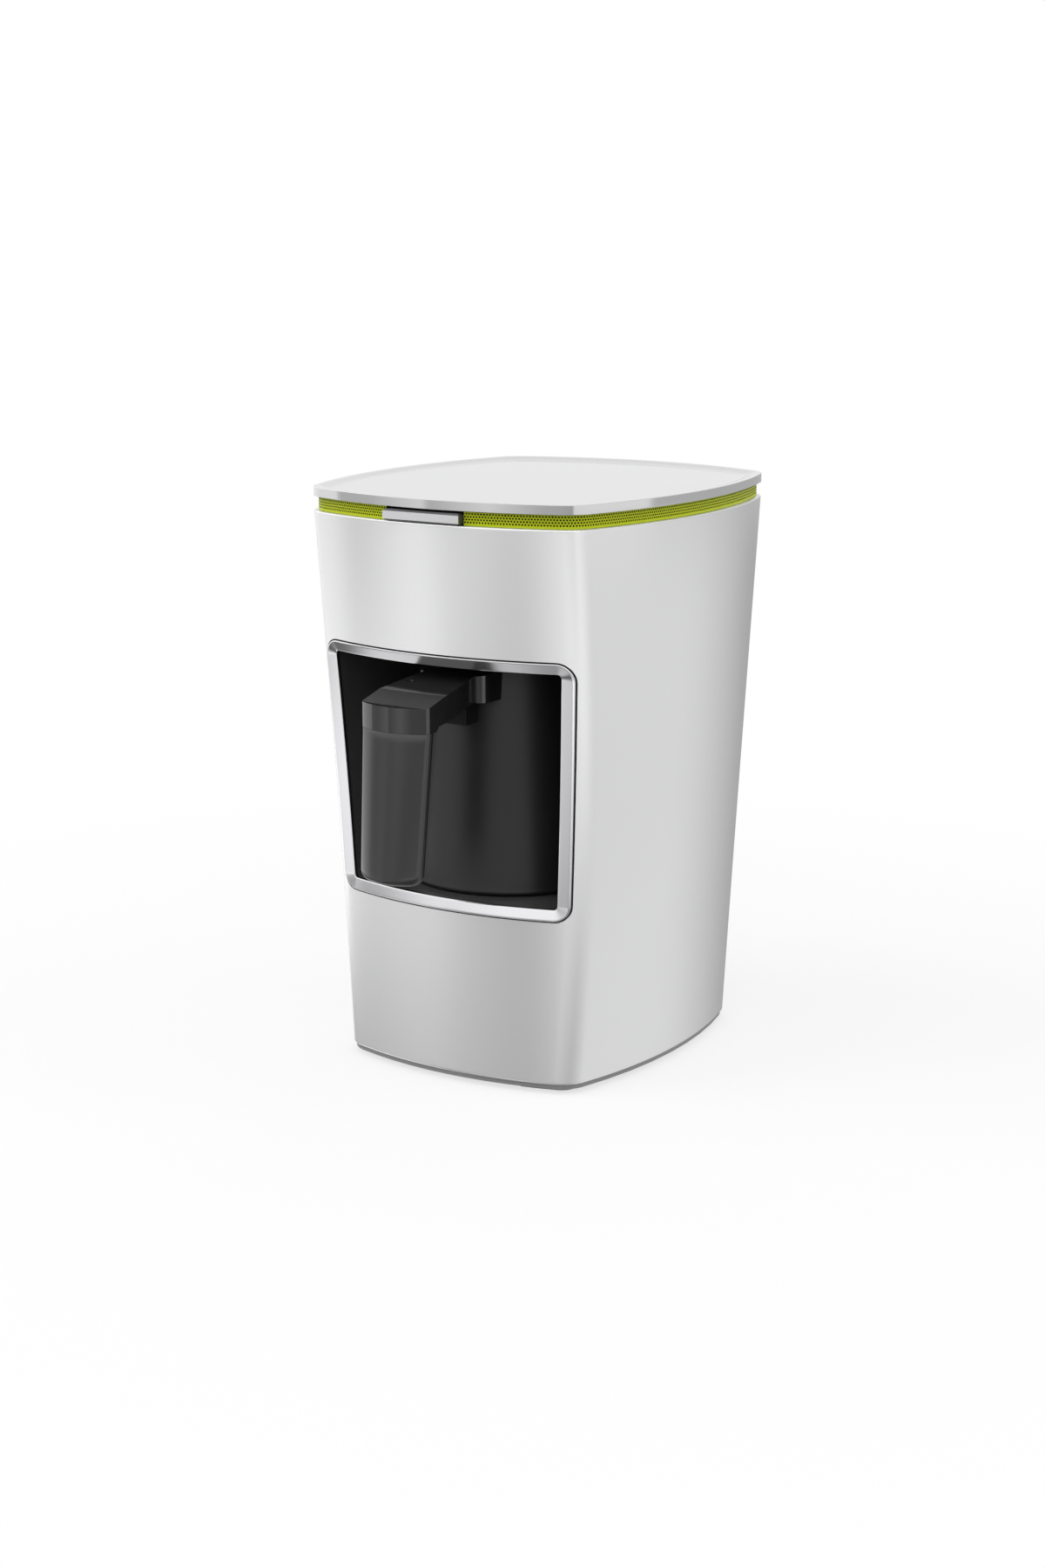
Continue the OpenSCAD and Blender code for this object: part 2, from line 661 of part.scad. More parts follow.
module niche_liner() place() color("#151515") difference() {
    union() {
        niche_form(niche_wall);
        intersection() {
            front_slab(flange_y, flange_back, bezel_z - slab_over, bezel_z + bezel_h + slab_over, slab_hw);
            along_y(-body_top_d, 0)
                polygon(bezel_outline(-flange_grow, -flange_grow, -flange_grow, bezel_r + flange_grow));
            body_form(flange_y);
        }
        both(liner_screw_x) {
            block([-ear_hw, liner_ear_y(1) + touch, liner_roof_z - 1],
                  [ear_hw, liner_ear_y(1) + ear_t, liner_screw_z(1) + ear_over]);
            block([-ear_hw, liner_ear_y(-1) + touch, liner_screw_z(-1) - ear_over],
                  [ear_hw, liner_ear_y(-1) + ear_t, niche_z0 - 1]);
        }
        both(socket_screw_x) rod_y(0, niche_back_y + 1, socket_boss_y, plug_z, boss_r);
        both(sensor_screw_x) rod_z(0, pot_y, niche_z1 + 1, sensor_boss_z, boss_r);
    }
    front_slab(-60, flange_y, bezel_z - 25, bezel_z + bezel_h + 25, slab_hw);
    niche_form(0);
    block([-socket_hw - socket_play, niche_back_y - 1, socket_z0 - socket_play],
          [socket_hw + socket_play, niche_back_y + niche_wall + 0.5, socket_z1 + socket_play]);
    rod_z(0, pot_y, niche_z1 - 1, liner_roof_z + 1, sensor_r + 0.15);
    at_liner_screws() translate([0, 0, -1]) cylinder(h = 5, r = pass_r);
    both(socket_screw_x) rod_y(0, niche_back_y + niche_wall, socket_boss_y + 1, plug_z, thread_r);
    both(sensor_screw_x) rod_z(0, pot_y, liner_roof_z, sensor_boss_z + 1, thread_r);
    at_clips()
        block([-clip_w / 2 - 2 * clip_play, 0, -clip_play],
              [clip_w / 2 + 2 * clip_play, clip_hook_y, clip_t + clip_play]);
}

module liner_screws() place() color("silver")
    at_liner_screws() translate([0, 0, ear_t + touch]) screw(8);

// ---- Start button ----

face_t = 1;
module button_face() place() color("silver")
    block([-button_w / 2, button_front_y, button_z0],
          [button_w / 2, button_front_y + face_t - touch, button_z1]);

module button_body() place() color("#303030") {
    half_w = button_w / 2 - bar_in;
    back_y = flange_front_y + flange_t;
    z0 = button_z0 + bar_in;
    z1 = button_z1 - bar_in;
    block([-half_w, button_front_y + face_t, z0], [half_w, flange_front_y + eps, z1]);
    block([-flange_hw, flange_front_y, z0], [flange_hw, back_y, z1]);
    both(guide_pin_x) rod_y(0, back_y - eps, stand_y + stand_t + 1.5, button_z, guide_pin_r);
    rod_y(0, back_y - eps, plunger_y - touch, button_z, push_rod_r);
}

module button_guide() place() color("#303030") difference() {
    union() {
        block([-stand_hw, stand_y, deck_z1], [stand_hw, stand_y + stand_t, tray_z0 - 1]);
        for (side = [0, 1]) mirror([side, 0, 0])
            block([control_hw + 2, stand_y, deck_z1], [stand_hw, guide_foot_y, guide_foot_z1]);
    }
    both(guide_pin_x) rod_y(0, stand_y - 1, stand_y + stand_t + 1, button_z, guide_pin_r + touch);
    rod_y(0, stand_y - 1, stand_y + stand_t + 1, button_z, push_rod_r + 0.2);
    both(guide_screw_x) rod_z(0, guide_screw_y, deck_z1 - 1, guide_foot_z1 + 1, pass_r);
}

// Two coil springs round the guide pins
module button_springs() place() color("silver") {
    wire_r = 0.2;
    coil_r = guide_pin_r + wire_r + 0.35;
    y0 = flange_front_y + flange_t + wire_r + touch;
    y1 = stand_y - wire_r - touch;
    turns = 4;
    steps = 12 * turns;
    both(guide_pin_x)
        tube([for (i = [0 : steps]) let (a = 360 * turns * i / steps)
            [coil_r * cos(a), y0 + (y1 - y0) * i / steps, button_z + coil_r * sin(a)]], wire_r, 6);
}

plunger_r = 1.6;
switch_hw = 3;
switch_hh = 2.2;
switch_t = 3.6;

module switch_plunger() place() color("ivory")
    rod_y(0, plunger_y, plunger_y + plunger_len, button_z, plunger_r);

module tact_switch() place() color("#202020") difference() {
    block([-switch_hw, control_y - switch_t, button_z - switch_hh],
          [switch_hw, control_y - touch, button_z + switch_hh]);
    rod_y(0, plunger_y, plunger_y + plunger_len + button_travel + 0.2, button_z, plunger_r + touch);
}

// ---- Control board ----

module control_board() place() color("darkgreen") difference() {
    block([-control_hw, control_y, control_z1 - control_h], [control_hw, control_y + control_t, control_z1]);
    both(lug_x) rod_y(0, control_y - 1, control_back_y + 1, lug_z, pass_r);
}

control_back_y = control_y + control_t;
control_z0 = control_z1 - control_h;
plug_x = 9.5;               // the two lead sockets on the back of the control board
plug_hw = 5;
plug_block_t = 6;
plug_block_z = [control_z0 + 3, control_z0 + 9];

// The processor on the front of the board and the two lead sockets on its back
module control_chip() place() color("#202020") {
    block([-5, control_y - 1.6, lug_z - 11], [5, control_y - touch, lug_z - 1]);
    both(plug_x)
        block([-plug_hw, control_back_y + touch, plug_block_z[0]],
              [plug_hw, control_back_y + plug_block_t, plug_block_z[1]]);
}

module control_board_screws() place() color("silver")
    both(lug_x) translate([0, control_y - touch, lug_z]) rotate([90, 0, 0]) screw(8);

led_x = 8;
led_r = 1.3;
module status_led() place() color("red") {
    rod_y(led_x, control_y - 3, control_y - touch, button_z, led_r);
    translate([led_x, control_y - 3, button_z]) sphere(r = led_r);
}

buzzer_r = 9;
buzzer_t = 8;
module buzzer() place() color("#202020") difference() {
    z = control_z0 + buzzer_r + 12;
    rod_y(0, control_back_y + touch, control_back_y + buzzer_t, z, buzzer_r);
    rod_y(0, control_back_y + buzzer_t - 2, control_back_y + buzzer_t + 1, z, 1.2);
}

// From the main board, up beside the niche, to the back of the control board
module control_lead() place() color("gray") {
    up = [0, 0, 30];
    off_shell = 8;
    start = [-board_hw + 6, 15, board_z + board_t + 6];
    foot = [-body_foot_w / 2 + off_shell, 0, niche_z0 - 8];
    shoulder = [-body_w(niche_z1) / 2 + off_shell, 0, niche_z1 - 4];
    end = [-plug_x, control_back_y + plug_block_t + 0.5, control_z0 + 6];
    rise = curve(start, start + up, foot - up, foot, 8);
    run = curve(foot, foot + up, shoulder - up, shoulder, 8);
    over = curve(shoulder, shoulder + up, end + [0, 26, 0], end, 10);
    tube(concat(rise, tail(run), tail(over)), 1.6);
    block(start - [4, 3, 6 - touch], start + [4, 3, 0.5]);
}

// ---- Foam sensor over the pot ----

sensor_seat_z = sensor_boss_z + touch;
sensor_board_z = sensor_seat_z + 7;
sensor_board_t = 1.2;
holder_ear_t = 2;

module sensor_window() place() color("#401010") {
    rod_z(0, pot_y, niche_z1 + 0.2, liner_roof_z + 0.1, sensor_r);
    rod_z(0, pot_y, liner_roof_z + 0.05, liner_roof_z + 1, sensor_r + 1.5);
}

module sensor_holder() place() color("#303030") difference() {
    union() {
        rod_z(0, pot_y, liner_roof_z + 1.05, sensor_board_z - touch, sensor_r + 1.5);
        both(sensor_screw_x) rod_z(0, pot_y, sensor_seat_z, sensor_seat_z + holder_ear_t, boss_r + 0.6);
        block([-sensor_screw_x, pot_y - 3, sensor_seat_z],
              [sensor_screw_x, pot_y + 3, sensor_seat_z + holder_ear_t]);
    }
    rod_z(0, pot_y, liner_roof_z, sensor_board_z + 1, sensor_r - 1);
    both(sensor_screw_x) rod_z(0, pot_y, sensor_seat_z - 1, sensor_seat_z + holder_ear_t + 1, pass_r);
}

module sensor_screws() place() color("silver")
    both(sensor_screw_x) translate([0, pot_y, sensor_seat_z + holder_ear_t + touch]) screw(5);

module sensor_board() place() color("darkgreen")
    block([-11, pot_y - 9, sensor_board_z], [11, pot_y + 9, sensor_board_z + sensor_board_t]);

// The infrared emitter and receiver
eye_r = 2.5;
eye_len = 6;
module sensor_pair() place() color("#101040") both(3.5) {
    rod_z(0, pot_y, sensor_board_z - eye_len, sensor_board_z - touch, eye_r);
    translate([0, pot_y, sensor_board_z - eye_len]) sphere(r = eye_r);
}

module sensor_lead() place() color("gray") {
    start = [0, pot_y - 2, sensor_board_z + sensor_board_t + 1.4];
    end = [plug_x, control_back_y + plug_block_t + 0.5, control_z0 + 6];
    tube(curve(start, start + [0, -14, 0], end + [0, 16, 0], end, 10), 1.2);
    block(start - [3, 0, 1.4 - touch], start + [3, 5, 1.4]);
}

// ---- Main board ----

board_top = board_z + board_t;
part_z = board_top + touch;

// A box on the main board from its middle, its size and how far it stands off
module on_board(x, y, size, lift = 0)
    translate([x, y, part_z + lift + size[2] / 2]) cube(size, center = true);

module main_board() place() color("darkgreen") difference() {
    block([-board_hw, board_y0, board_z + touch], [board_hw, board_y1, board_top]);
    at_board_holes() rod_z(0, 0, board_z - 1, board_top + 1, pass_r);
}

module main_board_screws() place() color("silver")
    at_board_holes() translate([0, 0, board_top + touch]) screw(8);

// Bobbin flange, core and winding
module transformer() place() color("goldenrod") {
    on_board(-19, -15, [26, 22, 3]);
    on_board(-19, -15, [22, 12, 14.5], 2.5);
    on_board(-19, -15, [14, 20, 11], 4);
}

module relay() place() color("royalblue") on_board(18.5, -25.5, [29, 13, 15.5]);

module filter_capacitor() place() color("gold") on_board(19, -9.5, [18, 9, 14]);

module electrolytic_capacitors() place() color("midnightblue") {
    rod_z(-26, 6, part_z, part_z + 18, 5);
    rod_z(-12, 6, part_z, part_z + 13, 4);
}

module choke() place() color("#8a4b20") {
    coil_r = 3.6;
    translate([6, 6, part_z + coil_r])
        rotate_extrude() translate([7.5, 0]) circle(r = coil_r, $fn = 32);
}

// Two clips and the tube between them
module fuse() place() color("lightgray") {
    tube_len = 20;
    x = -25;
    y = 25;
    for (end = [-8, 8]) on_board(x + end, y, [5, 6, 3]);
    translate([x - tube_len / 2, y, part_z + 5.5]) rotate([0, 90, 0]) cylinder(h = tube_len, r = 2.6);
}

module terminal_block() place() color("darkcyan") difference() {
    x = 22;
    pitch = 6.3;
    screw_y = 24;
    on_board(x, 25.5, [20, 11, 12]);
    for (way = [-pitch, 0, pitch]) {
        rod_z(x + way, screw_y, part_z + 4, part_z + 13, 2.2);
        rod_y(x + way, screw_y, screw_y + 8, part_z + 4, 1.8);
    }
}

lead_x = [-7, 0, 7];
header_y = 22;
tab_z1 = part_z + 9;
module lead_header() place() color("white") {
    on_board(0, header_y, [22, 7, 6]);
    for (x = lead_x) block([x - 2, header_y - 0.4, part_z + 5], [x + 2, header_y + 0.4, tab_z1]);
}

// ---- Socket at the back of the niche ----

pin_r = 2;
shroud_hw = 13;
shroud_hh = 6;
shroud_t = 1.5;
shroud_play = 0.4;
nose_hw = shroud_hw - shroud_t - fit;
nose_hh = shroud_hh - shroud_t - fit;
plug_end_y = niche_back_y + 12;             // how far the pot's plug reaches into the socket
socket_y0 = niche_back_y + 0.1;
cavity_y1 = plug_end_y + 2;
socket_y1 = cavity_y1 + 8;
contact_r = 2.9;

module socket_housing() place() color("#1c1c1c") difference() {
    union() {
        difference() {
            block([-socket_hw, socket_y0, socket_z0], [socket_hw, socket_y1, socket_z1]);
            block([-shroud_hw - shroud_play, socket_y0 - 1, plug_z - shroud_hh - shroud_play],
                  [shroud_hw + shroud_play, cavity_y1, plug_z + shroud_hh + shroud_play]);
        }
        block([-nose_hw, socket_y0 + 0.5, plug_z - nose_hh], [nose_hw, cavity_y1 + 1, plug_z + nose_hh]);
        for (side = [0, 1]) mirror([side, 0, 0])
            block([socket_hw - 1, socket_boss_y + touch, plug_z - socket_ear_hh],
                  [socket_screw_x + socket_ear_over, socket_boss_y + socket_ear_t, plug_z + socket_ear_hh]);
    }
    for (x = lead_x) rod_y(x, socket_y0, socket_y1 + 1, plug_z, contact_r);
    both(socket_screw_x) rod_y(0, socket_boss_y - 1, socket_boss_y + socket_ear_t + 1, plug_z, pass_r);
}

module socket_contacts() place() color("goldenrod")
    for (x = lead_x) difference() {
        union() {
            rod_y(x, socket_y0 + 1, socket_y1, plug_z, contact_r - touch);
            rod_y(x, socket_y1 - eps, socket_y1 + 3, plug_z, 1.2);
        }
        rod_y(x, socket_y0, socket_y1 - 3, plug_z, pin_r + touch);
    }

// The screws of the socket's housing and of the button's guide
module short_screws() place() color("silver") {
    both(socket_screw_x)
        translate([0, socket_boss_y + socket_ear_t + touch, plug_z]) rotate([-90, 0, 0]) screw(7);
    both(guide_screw_x) translate([0, guide_screw_y, guide_foot_z1 + touch]) screw(7);
}

module power_leads() place() color("brown")
    for (x = lead_x) {
        start = [x, socket_y1 + 3.3, plug_z];
        end = [x, header_y, tab_z1 + 0.4];
        tube(curve(start, start + [0, 16, 0], end + [0, 8, 30], end, 12), 1.3);
    }

// ---- Cord inlet ----

module cord_gland() place() color("#202020") difference() {
    flange_t = 2.5;
    outer_y = back_y(0, gland_z, 0) + 0.25;
    inner_y = back_y(gland_r + 2.5, gland_z, wall) - 0.2;
    union() {
        rod_y(0, outer_y, outer_y + flange_t, gland_z, gland_r + 3);
        rod_y(0, inner_y - flange_t, outer_y + 1, gland_z, gland_r);
        rod_y(0, inner_y - flange_t, inner_y, gland_z, gland_r + 2.5);
    }
    rod_y(0, inner_y - flange_t - 1, outer_y + flange_t + 1, gland_z, gland_bore_r);
}

module cord_clamp() place() color("#303030") difference() {
    block([-clamp_hw, clamp_y - clamp_hd, gland_z + gland_bore_r + touch],
          [clamp_hw, clamp_y + clamp_hd, clamp_z1]);
    both(clamp_x) rod_z(0, clamp_y, gland_z, clamp_z1 + 1, pass_r);
}

module cord_clamp_screws() place() color("silver")
    both(clamp_x) translate([0, clamp_y, clamp_z1 + touch]) screw(9);

// ---- Pot ----

split_z = pot_z0 + cup_h;
ledge_z = split_z + 0.15 + 1.5;
plate_z = ledge_z + 1;
plate_t = 1.2;
ledge_w = 8;                // the ledge that seal and plate lie on, in from the skin
cup_screw_z = split_z - 13.5;
function pot_r(z) = pot_base_r + (pot_top_r - pot_base_r) * (z - pot_z0) / pot_h;
cup_boss_r = pot_base_r - 7.5;
cup_boss_z = split_z - 10;
cup_angles = [30, 150, 270];
spout_r = 6;
spout_h = 9;
spout_tip_r = 3;

// The pot's cone between two heights, a given way inside its skin
module pot_cone(z0, z1, inset)
    translate([0, pot_y, z0]) cylinder(h = z1 - z0, r1 = pot_r(z0) - inset, r2 = pot_r(z1) - inset, $fn = 96);

module at_cup_bosses()
    translate([0, pot_y, 0]) for (a = cup_angles) rotate(a) translate([cup_boss_r, 0, 0]) children();

// A pouring lip: a wedge that widens up to the rim
module spout(side, grow, top)
    hull() {
        translate([side * (pot_top_r - 6), pot_y, pot_z1 - spout_h])
            cylinder(h = 1, r = 2 + grow, $fn = 32);
        translate([side * (pot_top_r - spout_r), pot_y, pot_z1 - 1])
            cylinder(h = top, r = spout_r + grow, $fn = 32);
        translate([side * (pot_top_r + spout_reach - spout_tip_r), pot_y, pot_z1 - 1])
            cylinder(h = top, r = spout_tip_r + grow, $fn = 32);
    }

module pot_body() place() color("#1a1a1a") difference() {
    union() {
        pot_cone(split_z + 0.15, pot_z1, 0);
        for (side = [-1, 1]) spout(side, pot_wall, 1);
        at_cup_bosses() rod_z(0, 0, cup_boss_z, split_z + 0.5, boss_r);
    }
    pot_cone(ledge_z, pot_z1 + 1, pot_wall);
    translate([0, pot_y, split_z - 1]) cylinder(h = 4, r = pot_r(split_z) - ledge_w);
    for (side = [-1, 1]) spout(side, 0, 2.5);
    at_cup_bosses() rod_z(0, 0, cup_boss_z - 1, split_z - 1, thread_r);
}

module pot_base_cup() place() color("#1a1a1a") difference() {
    union() {
        difference() {
            pot_cone(pot_z0, split_z, 0);
            pot_cone(pot_z0 + 2, split_z + 1, pot_wall);
        }
        at_cup_bosses() rod_z(0, 0, pot_z0, cup_boss_z - touch, boss_r + 1);
    }
    at_cup_bosses() {
        rod_z(0, 0, pot_z0 - 1, cup_screw_z, head_r + 0.4);
        rod_z(0, 0, pot_z0 - 1, cup_boss_z + 1, pass_r);
    }
    block([-shroud_hw - 0.2, plug_root_y - 1, plug_z - shroud_hh - 0.2],
          [shroud_hw + 0.2, pot_y + pot_base_r + 5, plug_z + shroud_hh + 0.2]);
}

module base_cup_screws() place() color("silver")
    at_cup_bosses() translate([0, 0, cup_screw_z]) rotate([180, 0, 0]) screw(10);

module heating_plate() place() color("silver")
    rod_z(0, pot_y, plate_z, plate_z + plate_t, pot_r(plate_z + plate_t) - pot_wall - fit);

module plate_seal() place() color("#b03020") difference() {
    rod_z(0, pot_y, ledge_z, plate_z - touch, pot_r(plate_z) - pot_wall - fit);
    rod_z(0, pot_y, ledge_z - 1, plate_z + 1, pot_r(split_z) - ledge_w + 0.5);
}

element_r = pot_base_r - 19;
element_t = 3.3;
module heating_element() place() color("gray") translate([0, pot_y, plate_z - touch - element_t]) {
    rotate(120) rotate_extrude(angle = 300) translate([element_r, 0]) circle(r = element_t, $fn = 32);
    for (a = [62, 118]) rotate(a) translate([element_r, 0, -8]) cylinder(h = 8, r = 2);
}

module thermostat() place() color("ivory") {
    body_h = 8;
    tab_h = 5;
    rod_z(0, pot_y, plate_z - body_h, plate_z - touch, 8);
    both(5)
        block([-2, pot_y - 0.4, plate_z - body_h - tab_h], [2, pot_y + 0.4, plate_z - body_h + 0.1]);
}

plug_root_y = pot_y + pot_base_r - 9;
module pot_plug() place() color("#1c1c1c") difference() {
    block([-shroud_hw, plug_root_y, plug_z - shroud_hh], [shroud_hw, plug_end_y, plug_z + shroud_hh]);
    block([-shroud_hw + shroud_t, pot_y + pot_base_r + 3.5, plug_z - shroud_hh + shroud_t],
          [shroud_hw - shroud_t, plug_end_y + 1, plug_z + shroud_hh - shroud_t]);
    for (x = lead_x) rod_y(x, plug_root_y - 1, plug_end_y, plug_z, pin_r + touch);
}

module plug_pins() place() color("silver")
    for (x = lead_x) {
        rod_y(x, plug_root_y - 3, plug_end_y - 2, plug_z, pin_r);
        rod_y(x, plug_root_y - 1.2, plug_root_y - 0.1, plug_z, pin_r + 0.8);
    }

// ---- Handle ----

cap_z = pot_z1 - cap_drop;
seam_z = cap_z - cap_h;
grip_z0 = seam_z - grip_h;
brow_y = grip_front_y + 17;         // where the sloped brow meets the arm's top
brow_z = cap_z + 3.15;
saddle_front_y = pot_y - pot_top_r - 10;
saddle_z0 = cap_z - 4;
bracket_z0 = saddle_z0 - 9.8;
bracket_hw = 8;
bracket_sink = 2.5;
saddle_r = 5;
arm_screw_y = saddle_front_y + 4.6;
arm_neck_hw = 12;           // half the arm's width where it meets the saddle
function arm_top_z(y) = brow_z + (y - brow_y) * tan(arm_slope);
arm_rim_z = arm_top_z(pot_y - pot_top_r);
function grip_y(z) = grip_front_y - grip_lean * (seam_z - z) / grip_h;
function grip_hw(z) = (grip_top_w + (grip_foot_w - grip_top_w) * (seam_z - z) / grip_h) / 2;

// The bulging face of the grip in plan, and where it turns into the sides, a given way inside its skin
function grip_face(z, inset) =
    let (full = grip_hw(z), r = (full * full + grip_bulge * grip_bulge) / (2 * grip_bulge),
         half = asin((full - inset) / (r - inset)) * 0.94)
    arc([0, grip_y(z) + r], r - inset, -half, half, 10);

// Plan of the grip: the face, the sides and a flat back with round corners
grip_back_r = 3;
function grip_plan(z, inset) =
    let (hw = grip_hw(z) - inset, face = grip_face(z, inset), r = grip_back_r - 0.6 * inset,
         back = grip_y(z) + grip_t - inset - r, side = 0.7 * face[0][1] + 0.3 * back)
    concat(face, [[hw, side]], arc([hw - r, back], r, 90, 180, 4),
           arc([r - hw, back], r, 180, 270, 4), [[-hw, side]]);

grip_round = min(4, (grip_t - grip_bulge) / 2 - 0.5);
function foot_level(a) = [grip_z0 + grip_round * (1 - cos(a)), grip_round * (1 - sin(a))];
module grip_form()
    loft([for (level = [for (a = [0 : 30 : 120]) a > 90 ? [seam_z - 0.1, 0] : foot_level(a)])
        [for (p = grip_plan(level[0], level[1])) [p[0], p[1], level[0]]]]);

cover_t = 3.5;
cover_sink = 1.6;           // depth of the screws' seats
cover_screw_r = 1.1;
cover_head_r = 2.2;
cover_z = [grip_z0 + 14, seam_z - 14];
function cover_y(z) = grip_y(z) + grip_t - cover_t;

// The half-space behind the seam between the grip and its cover
module behind_seam(gap)
    along_x(-grip_top_w, grip_top_w) polygon([
        [cover_y(grip_z0 - 5) + gap, grip_z0 - 5], [cover_y(grip_z0 - 5) + 30, grip_z0 - 5],
        [cover_y(seam_z + 5) + 30, seam_z + 5], [cover_y(seam_z + 5) + gap, seam_z + 5]]);

module handle_grip() place() color("#222222") difference() {
    grip_form();
    behind_seam(-0.1);
    for (z = cover_z) rod_y(0, cover_y(z) - 6, cover_y(z) + 9, z, cover_screw_r + touch);
}

module grip_cover() place() color("#222222") difference() {
    intersection() {
        grip_form();
        behind_seam(0);
    }
    for (z = cover_z) {
        rod_y(0, cover_y(z) - 3, cover_y(z) + 9, z, cover_screw_r + 0.25);
        rod_y(0, cover_y(z) + cover_t - cover_sink, cover_y(z) + 9, z, cover_head_r + 0.2);
    }
}

// Clear of the pot's wall
module pot_clearance() pot_cone(pot_z0, pot_z1 + 10, -0.1);

module handle_arm() place() color("#141414") difference() {
    union() {
        intersection() {
            along_x(-grip_top_w, grip_top_w) polygon([
                [grip_front_y - 1, seam_z], [grip_front_y + grip_t, seam_z],
                [grip_front_y + grip_t + 2, cap_z - 8], [saddle_front_y, saddle_z0], [pot_y, saddle_z0],
                [pot_y, arm_rim_z], [pot_y - pot_top_r, arm_rim_z],
                [brow_y, brow_z], [grip_front_y + grip_bulge, cap_z], [grip_front_y - 1, cap_z]]);
            slab(seam_z - 5, pot_z1 + 5) {
                hw = grip_top_w / 2;
                side = grip_front_y + grip_bulge + 1;
                polygon(concat(grip_face(seam_z, 0),
                    [[hw, side], [hw, brow_y], [arm_neck_hw, saddle_front_y], [arm_neck_hw, pot_y],
                     [-arm_neck_hw, pot_y], [-arm_neck_hw, saddle_front_y], [-hw, brow_y], [-hw, side]]));
            }
        }
        intersection() {
            along_x(-saddle_w, saddle_w) polygon([
                [saddle_front_y, saddle_z0], [pot_y, saddle_z0], [pot_y, arm_rim_z],
                [pot_y - pot_top_r, arm_rim_z], [saddle_front_y, arm_top_z(saddle_front_y)]]);
            slab(saddle_z0 - 1, pot_z1 + 5) {
                hw = saddle_w / 2;
                r = saddle_r;
                polygon(concat(arc([r - hw, saddle_front_y + r], r, -90, 0, 6),
                    arc([hw - r, saddle_front_y + r], r, 0, 90, 6),
                    [[hw, pot_y - pot_top_r + 10], [-hw, pot_y - pot_top_r + 10]]));
            }
        }
    }
    pot_clearance();
    rod_z(0, arm_screw_y, saddle_z0 - 1, saddle_z0 + 8, thread_r);
}

module handle_bracket() place() color("#141414") difference() {
    block([-bracket_hw, saddle_front_y, bracket_z0], [bracket_hw, pot_y - 25, saddle_z0 - touch]);
    pot_clearance();
    rod_z(0, arm_screw_y, bracket_z0 - 1, saddle_z0 + 1, pass_r);
    rod_z(0, arm_screw_y, bracket_z0 - 1, bracket_z0 + bracket_sink, head_r + 0.3);
}

module handle_screws() place() color("silver") {
    translate([0, arm_screw_y, bracket_z0 + bracket_sink]) rotate([180, 0, 0]) screw(14);
    for (z = cover_z)
        translate([0, cover_y(z) + cover_t - cover_sink, z])
            rotate([-90, 0, 0]) screw(6, cover_screw_r, cover_head_r, 1.3);
}

body_shell();
base_plate();
rubber_feet();
base_screws();
lid_tray();
grille_band();
top_frame();
top_frame_screws();
bezel();
niche_liner();
liner_screws();
button_face();
button_body();
button_guide();
button_springs();
switch_plunger();
tact_switch();
control_board();
control_chip();
control_board_screws();
status_led();
buzzer();
control_lead();
sensor_window();
sensor_holder();
sensor_board();
sensor_pair();
sensor_screws();
sensor_lead();
main_board();
main_board_screws();
transformer();
relay();
filter_capacitor();
electrolytic_capacitors();
choke();
fuse();
terminal_block();
lead_header();
socket_housing();
socket_contacts();
short_screws();
power_leads();
cord_gland();
cord_clamp();
cord_clamp_screws();
pot_body();
pot_base_cup();
base_cup_screws();
heating_plate();
plate_seal();
heating_element();
thermostat();
pot_plug();
plug_pins();
handle_bracket();
handle_arm();
handle_grip();
grip_cover();
handle_screws();
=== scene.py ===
import json
from math import asin, atan2, cos, exp, pi, radians, sin, sqrt, tan

import bmesh
import bpy
from mathutils import Matrix, Vector


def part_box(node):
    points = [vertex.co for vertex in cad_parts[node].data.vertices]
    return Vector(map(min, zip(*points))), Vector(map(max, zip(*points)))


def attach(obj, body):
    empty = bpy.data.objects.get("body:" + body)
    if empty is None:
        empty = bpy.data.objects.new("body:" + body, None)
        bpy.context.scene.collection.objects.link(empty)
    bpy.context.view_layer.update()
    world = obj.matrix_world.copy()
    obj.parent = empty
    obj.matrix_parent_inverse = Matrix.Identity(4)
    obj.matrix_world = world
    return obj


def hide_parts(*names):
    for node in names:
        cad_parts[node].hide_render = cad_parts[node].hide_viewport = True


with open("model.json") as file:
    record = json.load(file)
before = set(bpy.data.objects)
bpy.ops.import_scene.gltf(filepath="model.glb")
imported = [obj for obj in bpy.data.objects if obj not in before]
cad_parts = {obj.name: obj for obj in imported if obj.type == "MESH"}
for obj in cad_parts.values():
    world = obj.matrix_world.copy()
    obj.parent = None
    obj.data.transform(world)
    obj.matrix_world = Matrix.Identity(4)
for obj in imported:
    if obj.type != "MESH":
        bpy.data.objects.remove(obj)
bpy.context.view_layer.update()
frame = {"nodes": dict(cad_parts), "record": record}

# Every piece is shaped in millimetres about the body's upright axis, front towards -Y, and placed at the end
mm = 0.001
lidLow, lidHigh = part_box("lid_tray")
axisShift = (lidLow.y + lidHigh.y) / 2
placement = Matrix.Translation((0, axisShift, 0)) @ Matrix.Scale(mm, 4)
print("frame loaded")


def nodeBox(name):
    low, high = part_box(name)
    shift = Vector((0, axisShift, 0))
    return (low - shift) / mm, (high - shift) / mm


def nodeMiddle(name):
    return [(a + b) / 2 for a, b in zip(*nodeBox(name))]


camera = {"place": (0.58880, -0.92386, 0.35666), "yaw": -0.5682, "pitch": 0.2190, "lens": 91.87}


def newObject(name, data):
    made = bpy.data.objects.new(name, data)
    bpy.context.scene.collection.objects.link(made)
    return made


